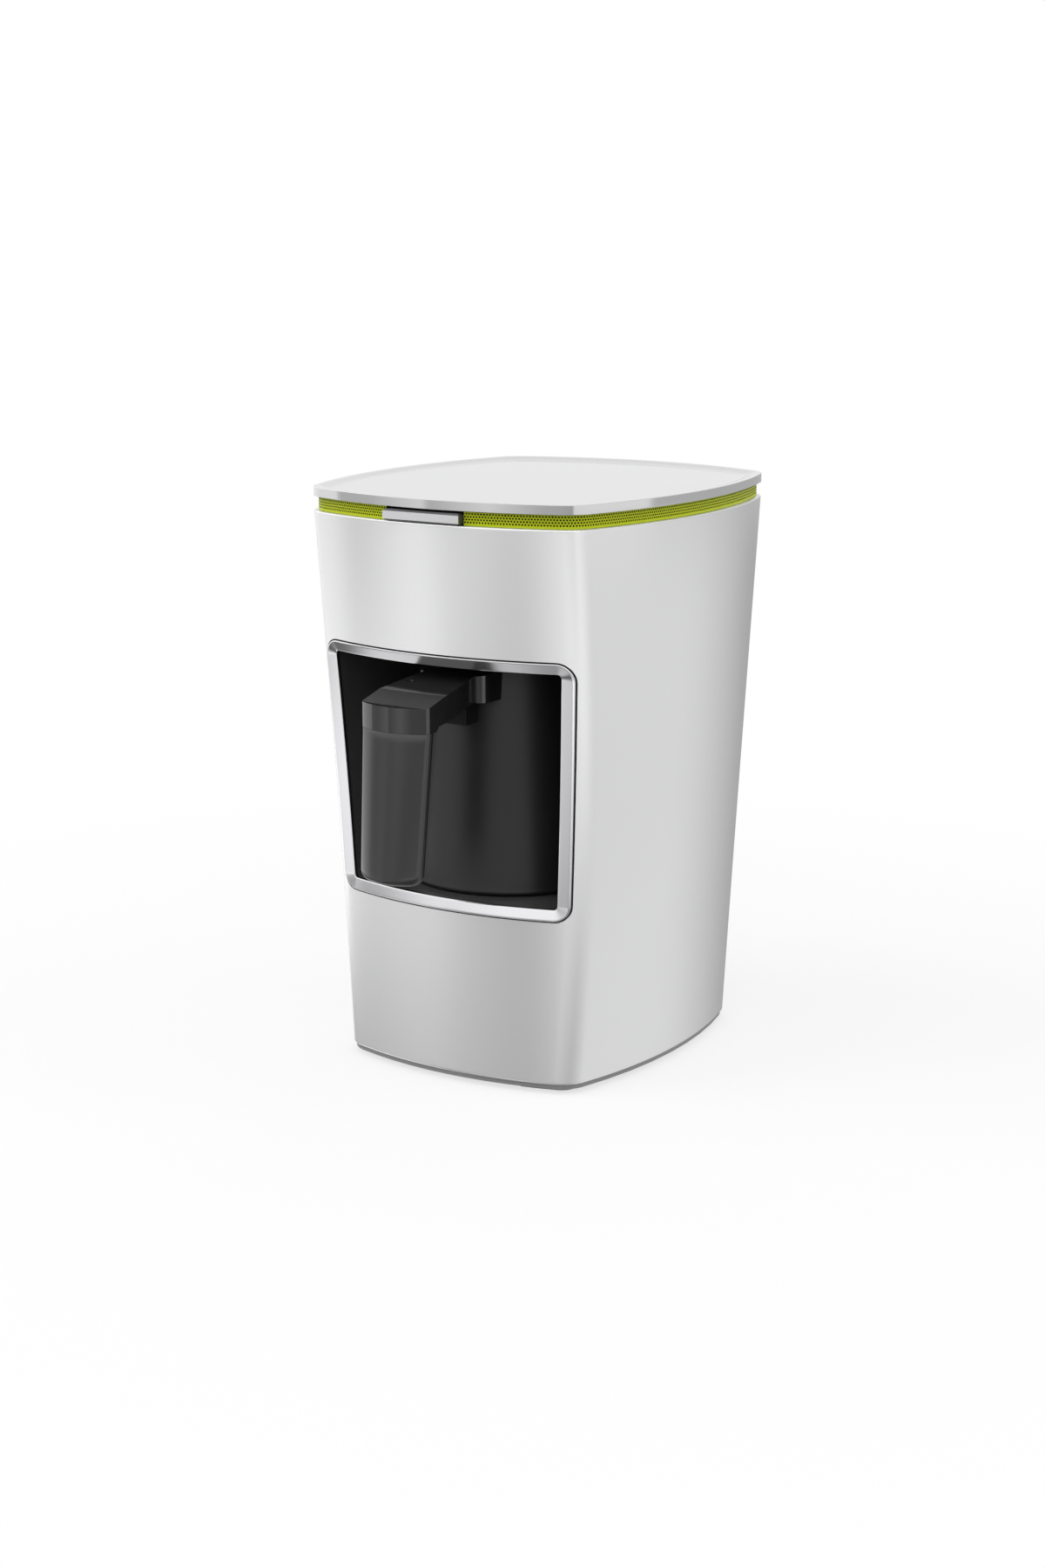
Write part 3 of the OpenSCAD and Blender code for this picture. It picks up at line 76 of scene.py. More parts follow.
def makeCamera():
    yaw, pitch = camera["yaw"], camera["pitch"]
    aim = Vector((sin(yaw) * cos(pitch), cos(yaw) * cos(pitch), -sin(pitch)))
    lens = bpy.data.cameras.new("camera")
    lens.lens = camera["lens"]
    lens.sensor_fit = "HORIZONTAL"
    eye = newObject("camera", lens)
    eye.location = camera["place"]
    eye.rotation_euler = aim.to_track_quat("-Z", "Y").to_euler()
    bpy.context.scene.camera = eye


makeCamera()


def ring(bm, points):
    verts = bmesh.ops.create_circle(bm, segments=len(points), radius=1)["verts"]
    for vert, point in zip(verts, points):
        vert.co = point
    return list(dict.fromkeys(edge for vert in verts for edge in vert.link_edges))


def skin(bm, outlines, closed=False, capped=False):
    loops = [ring(bm, points) for points in outlines]
    pairs = list(zip(loops, loops[1:]))
    if closed:
        pairs.append((loops[-1], loops[0]))
    for first, second in pairs:
        bmesh.ops.bridge_loops(bm, edges=first + second)
    if capped:
        for loop in (loops[0], loops[-1]):
            bmesh.ops.edgeloop_fill(bm, edges=loop)


def solid(bm, name, outward=True):
    if outward:
        bmesh.ops.recalc_face_normals(bm, faces=bm.faces)
    mesh = bpy.data.meshes.new(name)
    bm.to_mesh(mesh)
    bm.free()
    return newObject(name, mesh)


# Merging mixes the faces up, so they are put in the order of their points
def orderFaces(bm):
    bm.verts.index_update()
    count = len(bm.verts)

    def rank(face):
        first, second, third = sorted(vert.index for vert in face.verts)[:3]
        return (first * count + second) * count + third

    bm.faces.sort(key=rank)


def skinned(name, outlines, closed=False, capped=False):
    bm = bmesh.new()
    skin(bm, outlines, closed, capped)
    return solid(bm, name)


def bakeModifiers(piece):
    shape = piece.evaluated_get(bpy.context.evaluated_depsgraph_get())
    mesh = bpy.data.meshes.new_from_object(shape)
    piece.modifiers.clear()
    piece.data = mesh


def carve(piece, tool, operation="DIFFERENCE"):
    cut = piece.modifiers.new("cut", "BOOLEAN")
    cut.operation = operation
    cut.solver = "EXACT"
    cut.object = tool
    bakeModifiers(piece)
    bpy.data.objects.remove(tool)


def softenEdges(piece, width, segments=3, angle=35):
    bevel = piece.modifiers.new("edges", "BEVEL")
    bevel.width = width
    bevel.segments = segments
    bevel.limit_method = "ANGLE"
    bevel.angle_limit = radians(angle)
    bakeModifiers(piece)


def paint(piece, *slotNames):
    for slotName in slotNames:
        piece.data.materials.append(finishes[slotName])


# Closes what cutting and bevelling leave between points that coincide
def mergePoints(piece, gap):
    bm = bmesh.new()
    bm.from_mesh(piece.data)
    bmesh.ops.remove_doubles(bm, verts=bm.verts, dist=gap)
    orderFaces(bm)
    bm.to_mesh(piece.data)
    bm.free()


def settle(piece, body, slotName, replaced, angle=35, weighted=False):
    piece.data.transform(placement)
    piece.data.polygons.foreach_set("use_smooth", [True] * len(piece.data.polygons))
    piece.data.set_sharp_from_angle(angle=radians(angle))
    if weighted:
        normals = piece.modifiers.new("normals", "WEIGHTED_NORMAL")
        normals.keep_sharp = True
        bakeModifiers(piece)
    if not piece.data.materials:
        paint(piece, slotName)
    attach(piece, body)
    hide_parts(*replaced)


# Prisms across X from (y, z) points and up Z from (x, y) points
def prismX(name, points, halfWidth):
    return skinned(name, [[(x, y, z) for y, z in points] for x in (-halfWidth, halfWidth)], capped=True)


def prismZ(name, points, low, high):
    return skinned(name, [[(x, y, z) for x, y in points] for z in (low, high)], capped=True)


def block(name, low, high, rounding=0.0, segments=3):
    bm = bmesh.new()
    bmesh.ops.create_cube(bm, size=1)
    size = [b - a for a, b in zip(low, high)]
    middle = [(a + b) / 2 for a, b in zip(low, high)]
    bmesh.ops.scale(bm, vec=size, verts=bm.verts)
    bmesh.ops.translate(bm, vec=middle, verts=bm.verts)
    if rounding:
        bmesh.ops.bevel(bm, geom=bm.edges[:], offset=rounding, offset_type="OFFSET", affect="EDGES",
                        segments=segments, profile=0.5, material=-1, clamp_overlap=True)
    return solid(bm, name)


def rod(name, low, high, radius, steps=48):
    bm = bmesh.new()
    low, high = Vector(low), Vector(high)
    turn = (high - low).to_track_quat("Z", "Y").to_matrix().to_4x4()
    bmesh.ops.create_cone(bm, cap_ends=True, segments=steps, radius1=radius, radius2=radius,
                          depth=(high - low).length, matrix=Matrix.Translation((low + high) / 2) @ turn)
    return solid(bm, name)


# Turns an outline of (radius, height) points about an upright axis
def turned(name, profile, centreY, steps):
    bm = bmesh.new()
    edges = ring(bm, [(radius, centreY, height) for radius, height in profile])
    verts = list(dict.fromkeys(vert for edge in edges for vert in edge.verts))
    bmesh.ops.spin(bm, geom=verts + edges, cent=(0, centreY, 0), axis=(0, 0, 1), angle=2 * pi,
                   steps=steps, use_merge=True)
    orderFaces(bm)
    return solid(bm, name)


def circle(x, y, z, radius, steps):
    turns = [2 * pi * i / steps for i in range(steps)]
    return [(x + radius * cos(turn), y + radius * sin(turn), z) for turn in turns]


def evenly(first, last, steps):
    return [first + (last - first) * i / steps for i in range(steps + 1)]


def spaced(first, last, steps):
    return list(zip(*(evenly(a, b, steps) for a, b in zip(first, last))))


finishes = {}
slotColours = {entry["slot"]: entry["base_color"] for entry in frame["record"]["materials"]}


socketKinds = {"Vector": "NodeSocketVector", "Color": "NodeSocketColor"}    # the others are numbers


def newGroup(name, inputs, outputs):
    group = bpy.data.node_groups.new(name, "ShaderNodeTree")
    for way, names in (("INPUT", inputs), ("OUTPUT", outputs)):
        for socketName in names:
            group.interface.new_socket(socketName, in_out=way,
                                       socket_type=socketKinds.get(socketName, "NodeSocketFloat"))
    return group, group.nodes.new("NodeGroupInput").outputs, group.nodes.new("NodeGroupOutput").inputs


def addNode(tree, kind, values=None, **settings):
    node = tree.nodes.new(kind)
    for name, value in settings.items():
        setattr(node, name, value)
    for name, value in (values or {}).items():
        if isinstance(value, bpy.types.NodeSocket):
            tree.links.new(value, node.inputs[name])
        else:
            node.inputs[name].default_value = value
    return node


def noise(tree, vector, scale, detail, rough):
    return addNode(tree, "ShaderNodeTexNoise", {"Vector": vector, "Scale": scale, "Detail": detail,
                                                "Roughness": rough}).outputs[0]


def maths(tree, operation, first, second):
    return addNode(tree, "ShaderNodeMath", {0: first, 1: second}, operation=operation).outputs[0]


def remap(tree, value, low, high, newLow, newHigh):
    return addNode(tree, "ShaderNodeMapRange", {"Value": value, "From Min": low, "From Max": high,
                                                "To Min": newLow, "To Max": newHigh}).outputs[0]


# How far a pattern stands off its middle, times a strength
def swing(tree, pattern, strength):
    return maths(tree, "MULTIPLY", maths(tree, "SUBTRACT", pattern, 0.5), strength)


# Puts out a colour times a factor, and the other values as they are
def putOut(tree, out, colour, factor, **values):
    scaled = addNode(tree, "ShaderNodeVectorMath", {0: colour, "Scale": factor}, operation="SCALE")
    tree.links.new(scaled.outputs[0], out["Color"])
    for name, value in values.items():
        tree.links.new(value, out[name])


# Grain of a moulded face: fine height, cloudy colour, and roughness with faint handling smears
def makeGrainGroup():
    tree, given, out = newGroup("moulded grain", ("Vector", "Color", "Roughness", "Grain", "Cloud", "Smear"),
                                ("Color", "Roughness", "Height"))
    vector = given["Vector"]
    fine = noise(tree, vector, given["Grain"], 3.0, 0.6)
    cloud = noise(tree, vector, 28.0, 3.0, 0.55)
    smear = noise(tree, vector, 75.0, 5.0, 0.7)
    factor = maths(tree, "ADD", maths(tree, "MULTIPLY", swing(tree, cloud, given["Cloud"]), 2.0), 1.0)
    speck = remap(tree, fine, 0.3, 0.7, 0.985, 1.015)
    streak = maths(tree, "MULTIPLY", remap(tree, smear, 0.45, 0.75, 0.0, 1.0), given["Smear"])
    putOut(tree, out, given["Color"], maths(tree, "MULTIPLY", factor, speck),
           Roughness=maths(tree, "ADD", given["Roughness"], streak), Height=fine)
    return tree


# Metallic paint: fine flakes of uneven brightness under a skin with a slight orange peel
def makePaintGroup():
    tree, given, out = newGroup("flake paint", ("Vector", "Color", "Flake", "Sparkle"), ("Color", "Height"))
    vector = given["Vector"]
    cells = addNode(tree, "ShaderNodeTexVoronoi", {"Vector": vector, "Scale": given["Flake"]})
    tone = addNode(tree, "ShaderNodeSeparateColor", {0: cells.outputs["Color"]}).outputs[0]
    cloud = remap(tree, noise(tree, vector, 14.0, 2.0, 0.5), 0.3, 0.7, 0.992, 1.008)
    glint = maths(tree, "ADD", swing(tree, tone, given["Sparkle"]), 1.0)
    putOut(tree, out, given["Color"], maths(tree, "MULTIPLY", glint, cloud),
           Height=noise(tree, vector, 300.0, 1.0, 0.5))
    return tree


# Drawn, spun or brushed metal: streaks along the direction that the vector is stretched in, and stains
def makeStreakGroup():
    tree, given, out = newGroup("metal streaks", ("Vector", "Color", "Roughness", "Streak", "Contrast"),
                                ("Color", "Roughness", "Height"))
    vector = given["Vector"]
    streak = noise(tree, vector, given["Streak"], 4.0, 0.65)
    line = swing(tree, streak, given["Contrast"])
    stain = swing(tree, noise(tree, vector, 35.0, 3.0, 0.5), 0.06)
    rough = maths(tree, "ADD", given["Roughness"], maths(tree, "MULTIPLY", line, 0.6))
    putOut(tree, out, given["Color"], maths(tree, "ADD", maths(tree, "ADD", line, stain), 1.0),
           Roughness=maths(tree, "ADD", rough, maths(tree, "MULTIPLY", stain, 0.8)), Height=streak)
    return tree


grainGroup = makeGrainGroup()
paintGroup = makePaintGroup()
streakGroup = makeStreakGroup()


def newFinish(slotName):
    material = bpy.data.materials.new(slotName)
    material.use_nodes = True
    tree = material.node_tree
    shader = tree.nodes["Principled BSDF"]
    place = addNode(tree, "ShaderNodeTexCoord").outputs["Object"]
    finishes[slotName] = material
    return tree, shader, place


def useGroup(tree, shader, group, values, bump, depth=0.00005):
    effect = addNode(tree, "ShaderNodeGroup", values, node_tree=group)
    tree.links.new(effect.outputs["Color"], shader.inputs["Base Color"])
    if "Roughness" in effect.outputs:
        tree.links.new(effect.outputs["Roughness"], shader.inputs["Roughness"])
    if bump:
        relief = addNode(tree, "ShaderNodeBump", {"Height": effect.outputs["Height"], "Strength": bump,
                                                  "Distance": depth})
        tree.links.new(relief.outputs[0], shader.inputs["Normal"])


def tintOf(slotName, look):
    return (*look.get("colour", slotColours.get(slotName)), 1)


# Constants go on the shader's own sockets, and the colour through the group
def setShader(shader, look):
    for name, value in look.items():
        if name != "colour":
            shader.inputs[name].default_value = value


def mouldedFinish(slotName, roughness, grain, cloud, smear, bump, look):
    tree, shader, place = newFinish(slotName)
    useGroup(tree, shader, grainGroup, {"Vector": place, "Color": tintOf(slotName, look), "Smear": smear,
                                        "Roughness": roughness, "Grain": grain, "Cloud": cloud}, bump)
    setShader(shader, look)


def metalFinish(slotName, roughness, stretch, streak, contrast, bump, look):
    tree, shader, place = newFinish(slotName)
    drawn = addNode(tree, "ShaderNodeMapping", {"Vector": place, "Scale": stretch}).outputs[0]
    useGroup(tree, shader, streakGroup, {"Vector": drawn, "Color": tintOf(slotName, look), "Streak": streak,
                                         "Roughness": roughness, "Contrast": contrast}, bump)
    setShader(shader, {"Metallic": 1.0, **look})


def paintedFinish(slotName, sparkle, bump, look):
    tree, shader, place = newFinish(slotName)
    useGroup(tree, shader, paintGroup, {"Vector": place, "Color": tintOf(slotName, look), "Flake": 4200.0,
                                        "Sparkle": sparkle}, bump, depth=0.00002)
    setShader(shader, look)


# Solder mask over tracks and pads
board = {"mask": (0.09, 0.36, 0.16, 1), "scale": 90.0, "gap": 0.06, "width": 0.9, "height": 0.32,
         "offset": 0.37}


def boardFinish():
    tree, shader, place = newFinish("circuit_board")
    tracks = addNode(tree, "ShaderNodeTexBrick",
                     {"Vector": place, "Scale": board["scale"], "Mortar Size": board["gap"],
                      "Brick Width": board["width"], "Row Height": board["height"]}, offset=board["offset"])
    tone = addNode(tree, "ShaderNodeMix", {0: tracks.outputs["Fac"], 6: tintOf("circuit_board", {}),
                                           7: board["mask"]}, data_type="RGBA")
    useGroup(tree, shader, grainGroup, {"Vector": place, "Color": tone.outputs[2], "Roughness": 0.32,
                                        "Grain": 2500.0, "Cloud": 0.1, "Smear": 0.05}, 0.1)
    setShader(shader, {"Coat Weight": 0.3})


# sparkle and bump of the paints, with the shader's own values
paintLooks = {
    "silver_shell": (0.02, 0.01, {"colour": (0.80, 0.80, 0.805), "Roughness": 0.26, "Metallic": 0.5,
                                  "Coat Weight": 0.2, "Coat Roughness": 0.25}),
    "lid_plastic": (0.02, 0.02, {"colour": (0.66, 0.66, 0.665), "Roughness": 0.08, "Metallic": 0.5,
                                 "Coat Weight": 0.2, "Coat Roughness": 0.05}),
}
# roughness, grain, cloud, smear and bump of the moulded pieces
mouldedLooks = {
    "lime_band": (0.4, 1800, 0.04, 0.05, 0.15, {"colour": (0.60, 0.70, 0.006), "Specular IOR Level": 0.3}),
    "button_plastic": (0.4, 2200, 0.06, 0.06, 0.3, {"colour": (0.10, 0.10, 0.105), "Metallic": 0.3}),
    "black_liner": (0.2, 700, 0.1, 0.05, 0.04, {"colour": [0.09] * 3, "Coat Weight": 0.2}),
    "pot_plastic": (0.4, 900, 0.08, 0.06, 0.05, {"colour": [0.011] * 3, "Specular IOR Level": 0.4}),
    "arm_plastic": (0.1, 900, 0.08, 0.03, 0.03, {"colour": [0.022] * 3, "Specular IOR Level": 0.7}),
    # a duller, darker copy of arm_plastic: satin, and painted shade for the brow and the bracket
    "arm_satin": (0.42, 900, 0.08, 0.06, 0.03, {"colour": [0.014] * 3, "Specular IOR Level": 0.15}),
    "grip_plastic": (0.28, 3200, 0.04, 0.02, 0.05, {"colour": [0.013] * 3, "Specular IOR Level": 0.6}),
    "base_plastic": (0.5, 1600, 0.08, 0.08, 0.4, {"colour": [0.32] * 3}),
    "frame_plastic": (0.6, 1600, 0.08, 0.08, 0.4, {"colour": [0.01] * 3, "Specular IOR Level": 0.25}),
    "socket_plastic": (0.38, 1800, 0.08, 0.08, 0.3, {}),
    "foot_rubber": (0.75, 2600, 0.15, 0.1, 0.6, {"Sheen Weight": 0.1}),
    "chip_black": (0.55, 3000, 0.1, 0.08, 0.4, {}),
    "ivory_plastic": (0.42, 1400, 0.08, 0.06, 0.2, {"Subsurface Weight": 0.05}),
    "led_red": (0.1, 600, 0.04, 0.03, 0, {"Coat Weight": 0.5}),
    "window_red": (0.06, 500, 0.06, 0.05, 0, {"Coat Weight": 0.6}),
    "sensor_blue": (0.08, 500, 0.06, 0.04, 0, {"Coat Weight": 0.6}),
    "lead_sleeve": (0.55, 2200, 0.1, 0.1, 0.3, {}),
    "lead_brown": (0.5, 2200, 0.1, 0.1, 0.3, {}),
    "relay_blue": (0.35, 1600, 0.06, 0.06, 0.2, {}),
    "capacitor_yellow": (0.3, 1600, 0.06, 0.06, 0.1, {}),
    "terminal_green": (0.42, 1600, 0.06, 0.06, 0.2, {}),
    "white_nylon": (0.45, 1600, 0.06, 0.06, 0.2, {"Subsurface Weight": 0.05}),
    "silicone_red": (0.6, 2200, 0.12, 0.1, 0.4, {}),
    "glass_tube": (0.04, 1500, 0.05, 0.04, 0, {"Transmission Weight": 0.9, "IOR": 1.5}),
}
# roughness, stretch, streak, contrast and bump of the metals and of what is wound or drawn
metalLooks = {
    "chrome_trim": (0.18, (1, 1, 1), 600, 0.06, 0.05, {"colour": (0.5, 0.5, 0.51)}),
    "button_metal": (0.25, (0.04, 1, 1), 2400, 0.06, 0.05, {"colour": (0.58, 0.58, 0.59)}),
    "transformer_yellow": (0.5, (1, 1, 14), 240, 0.18, 0.3, {"Metallic": 0.0}),
    "capacitor_sleeve": (0.32, (1, 1, 0.1), 700, 0.1, 0.1, {"Metallic": 0.2}),
    "copper_coil": (0.3, (1, 1, 1), 1500, 0.3, 0.5, {}),
    "screw_steel": (0.3, (1, 1, 0.3), 1800, 0.12, 0.15, {}),
    "spring_steel": (0.25, (1, 0.2, 1), 2500, 0.12, 0.1, {}),
    "contact_brass": (0.24, (1, 0.1, 1), 1600, 0.12, 0.1, {}),
    "plate_steel": (0.3, (1, 1, 1), 260, 0.16, 0.15, {}),
    "element_steel": (0.42, (1, 1, 1), 500, 0.35, 0.3, {}),
    "pin_steel": (0.2, (1, 0.1, 1), 1600, 0.08, 0.08, {}),
}


def makeFinishes():
    kinds = ((paintedFinish, paintLooks), (mouldedFinish, mouldedLooks), (metalFinish, metalLooks))
    for make, looks in kinds:
        for slotName, look in looks.items():
            make(slotName, *look)
    boardFinish()


makeFinishes()
print("finishes made:", len(finishes))

shell = {"sideSwell": 0.7, "endHollow": 3.5, "frontRadius": 158, "backRadius": 141, "sideRadius": 212,
         "cornerRadius": 14, "wall": 2.5, "edge": 0.6, "lip": 0.2, "baseInset": 1.0, "levels": 28,
         "innerLevels": 8, "endSteps": 18, "bendSteps": 12, "sideSteps": 14, "windowSeam": 0.55,
         "windowCut": (-120, -40), "glandRadius": 6.15, "glandCut": (60, 100)}
shellLow, shellHigh = nodeBox("body_shell")
plateHigh = nodeBox("base_plate")[1]
footWidth = 2 * (plateHigh.x + shell["baseInset"])
footDepth = 2 * (plateHigh.y + shell["baseInset"])


# Points on an arc whose angle starts from the -Y side and turns to +X
def arcPoints(centre, radius, start, end, steps):
    x, y = centre
    return [(x + radius * sin(turn), y - radius * cos(turn)) for turn in evenly(start, end, steps)]


# The circle that rounds an end arc into a side arc, and where it starts and stops
def cornerBend(halfWidth, halfDepth, endRadius, sideRadius, radius):
    endCentre = Vector((0, endRadius - halfDepth))
    sideCentre = Vector((halfWidth - sideRadius, 0))
    endGap, sideGap = endRadius - radius, sideRadius - radius
    between = sideCentre - endCentre
    way = between.normalized()
    along = (between.length_squared + endGap ** 2 - sideGap ** 2) / (2 * between.length)
    centre = endCentre + along * way + sqrt(endGap ** 2 - along ** 2) * Vector((-way.y, way.x))
    fromEnd, fromSide = centre - endCentre, centre - sideCentre
    return centre, atan2(fromEnd.x, -fromEnd.y), atan2(fromSide.x, -fromSide.y)


def quarterOutline(halfWidth, halfDepth, endRadius, sideRadius, radius):
    centre, start, stop = cornerBend(halfWidth, halfDepth, endRadius, sideRadius, radius)
    return (arcPoints((0, endRadius - halfDepth), endRadius, 0, start, shell["endSteps"])
            + arcPoints(centre, radius, start, stop, shell["bendSteps"])[1:]
            + arcPoints((halfWidth - sideRadius, 0), sideRadius, stop, pi / 2, shell["sideSteps"])[1:])


def roundedOutline(width, depth, cornerRadius, inset):
    halfWidth, halfDepth = width / 2 - inset, depth / 2 - inset
    side, corner = shell["sideRadius"] - inset, cornerRadius - inset
    front = quarterOutline(halfWidth, halfDepth, shell["frontRadius"] - inset, side, corner)
    back = quarterOutline(halfWidth, halfDepth, shell["backRadius"] - inset, side, corner)
    right = front + [(x, -y) for x, y in reversed(back)][1:]
    return right + [(-x, y) for x, y in reversed(right[1:-1])]


def dropAt(z):
    return (shellHigh.z - z) / (shellHigh.z - shellLow.z)


def bodyWidth(z):
    t = dropAt(z)
    return 2 * shellHigh.x * (1 - t) + footWidth * t + 8 * shell["sideSwell"] * t * (1 - t)


def bodyDepth(z):
    t = dropAt(z)
    return 2 * shellHigh.y * (1 - t) + footDepth * t - 8 * shell["endHollow"] * t * (1 - t)


def bodyOutline(z, inset):
    return [(x, y, z) for x, y in roundedOutline(bodyWidth(z), bodyDepth(z), shell["cornerRadius"], inset)]


def frontAt(x, z, depth):
    radius = shell["frontRadius"] - depth
    return radius - (bodyDepth(z) / 2 - depth) - sqrt(radius ** 2 - x ** 2)


bezel = {"low": 72.6, "height": 105.2, "footWidth": 110.0, "topWidth": 119.8, "side": 5.7, "head": 4.5,
         "sill": 4.8, "radius": 7.0, "innerRadius": 1.5, "bendSteps": 10, "barSteps": 16}


def bezelHalf(z):
    lean = (bezel["topWidth"] - bezel["footWidth"]) / bezel["height"]
    return (bezel["footWidth"] + lean * (z - bezel["low"])) / 2


# The bezel's outline as (x, z), narrowed by its bars
def bezelOutline(side, sill, head, radius):
    lean = atan2((bezel["topWidth"] - bezel["footWidth"]) / 2, bezel["height"])
    low, high = bezel["low"] + sill + radius, bezel["low"] + bezel["height"] - head - radius
    inward = side + radius / cos(lean)
    foot = arcPoints((bezelHalf(low) - inward, low), radius, 0, pi / 2 - lean, bezel["bendSteps"])
    top = arcPoints((bezelHalf(high) - inward, high), radius, pi / 2 - lean, pi, bezel["bendSteps"])
    bars = bezel["barSteps"]
    right = (spaced((0, foot[0][1]), foot[0], bars) + foot[1:] + spaced(foot[-1], top[0], bars)[1:]
             + top[1:] + spaced(top[-1], (0, top[-1][1]), bars)[1:])
    return right + [(-x, z) for x, z in reversed(right[1:-1])]


def grownBezel(growth):
    return bezelOutline(-growth, -growth, -growth, bezel["radius"] + growth)


def makeShell():
    low, high, wall, edge, lip = shellLow.z, shellHigh.z, shell["wall"], shell["edge"], shell["lip"]
    bend, hold = edge * 0.3, edge * 1.7    # the ring at hold keeps the wall's shading off the rounding
    levels = [(low, edge), (low + bend, bend), (low + edge, 0)]
    levels += [(z, 0) for z in evenly(low + hold, high - hold, shell["levels"])]
    levels += [(high - edge, 0), (high - bend, bend), (high, edge), (high, wall - lip)]
    levels += [(z, wall) for z in evenly(high - lip, low, shell["innerLevels"])]
    piece = skinned("bodyShell", [bodyOutline(z, inset) for z, inset in levels], closed=True)
    window = grownBezel(shell["windowSeam"])
    carve(piece, skinned("window", [[(x, y, z) for x, z in window] for y in shell["windowCut"]], capped=True))
    glandZ = nodeMiddle("cord_gland")[2]
    near, far = shell["glandCut"]
    carve(piece, rod("inlet", (0, near, glandZ), (0, far, glandZ), shell["glandRadius"]))
    settle(piece, "machine", "silver_shell", ["body_shell"])


makeShell()
print("shell done")

lid = {"cornerRadius": 17}
# (inset, depth below the top): from under the tray round the skirt and over the rim into the dish
lidProfile = [(30, 2.8), (2.0, 2.8), (1.7, 3.1), (1.7, 3.6), (1.5, 3.8), (0.2, 3.8), (0.06, 3.74), (0, 3.6),
              (0, 0.2), (0.06, 0.06), (0.2, 0), (1.5, 0), (2.2, 0.05), (3.2, 0.3), (4.4, 0.7), (5.6, 0.98),
              (6.8, 1.14), (8.2, 1.2), (16, 1.2), (40, 1.2)]


def lidOutline(inset):
    low, high = nodeBox("lid_tray")
    return roundedOutline(2 * high.x, high.y - low.y, lid["cornerRadius"], inset)


def makeLid():
    high, rings = nodeBox("lid_tray")[1], []
    for inset, drop in lidProfile:
        keep = min(inset, lid["cornerRadius"] - 1)
        scale = 1 - (inset - keep) / high.x
        rings.append([(x * scale, y * scale, high.z - drop) for x, y in lidOutline(keep)])
    settle(skinned("lidTray", rings, capped=True), "machine", "lid_plastic", ["lid_tray"], 50, True)


makeLid()
print("lid done")

band = {"inset": 2.0, "pitch": 1.25, "rise": 1.1, "rows": 5, "hole": 0.37, "depth": 1.3, "foot": 0.55,
        "buttonGap": 0.35, "cellInset": 0.12, "spare": 0.25, "merge": 0.02, "wrapMerge": 0.03, "walkSteps": 4}


# Walks the lid's outline: a point at each even step of its length
def evenWalk(points, count):
    loop = points + points[:1]
    lengths = [0]
    for first, second in zip(loop, loop[1:]):
        lengths.append(lengths[-1] + (Vector(second) - Vector(first)).length)
    walk, k = [], 0
    for i in range(count):
        reach = lengths[-1] * i / count
        while lengths[k + 1] < reach:
            k += 1
        t = (reach - lengths[k]) / (lengths[k + 1] - lengths[k])
        walk.append(Vector(loop[k]).lerp(Vector(loop[k + 1]), t))
    return walk, lengths[-1]


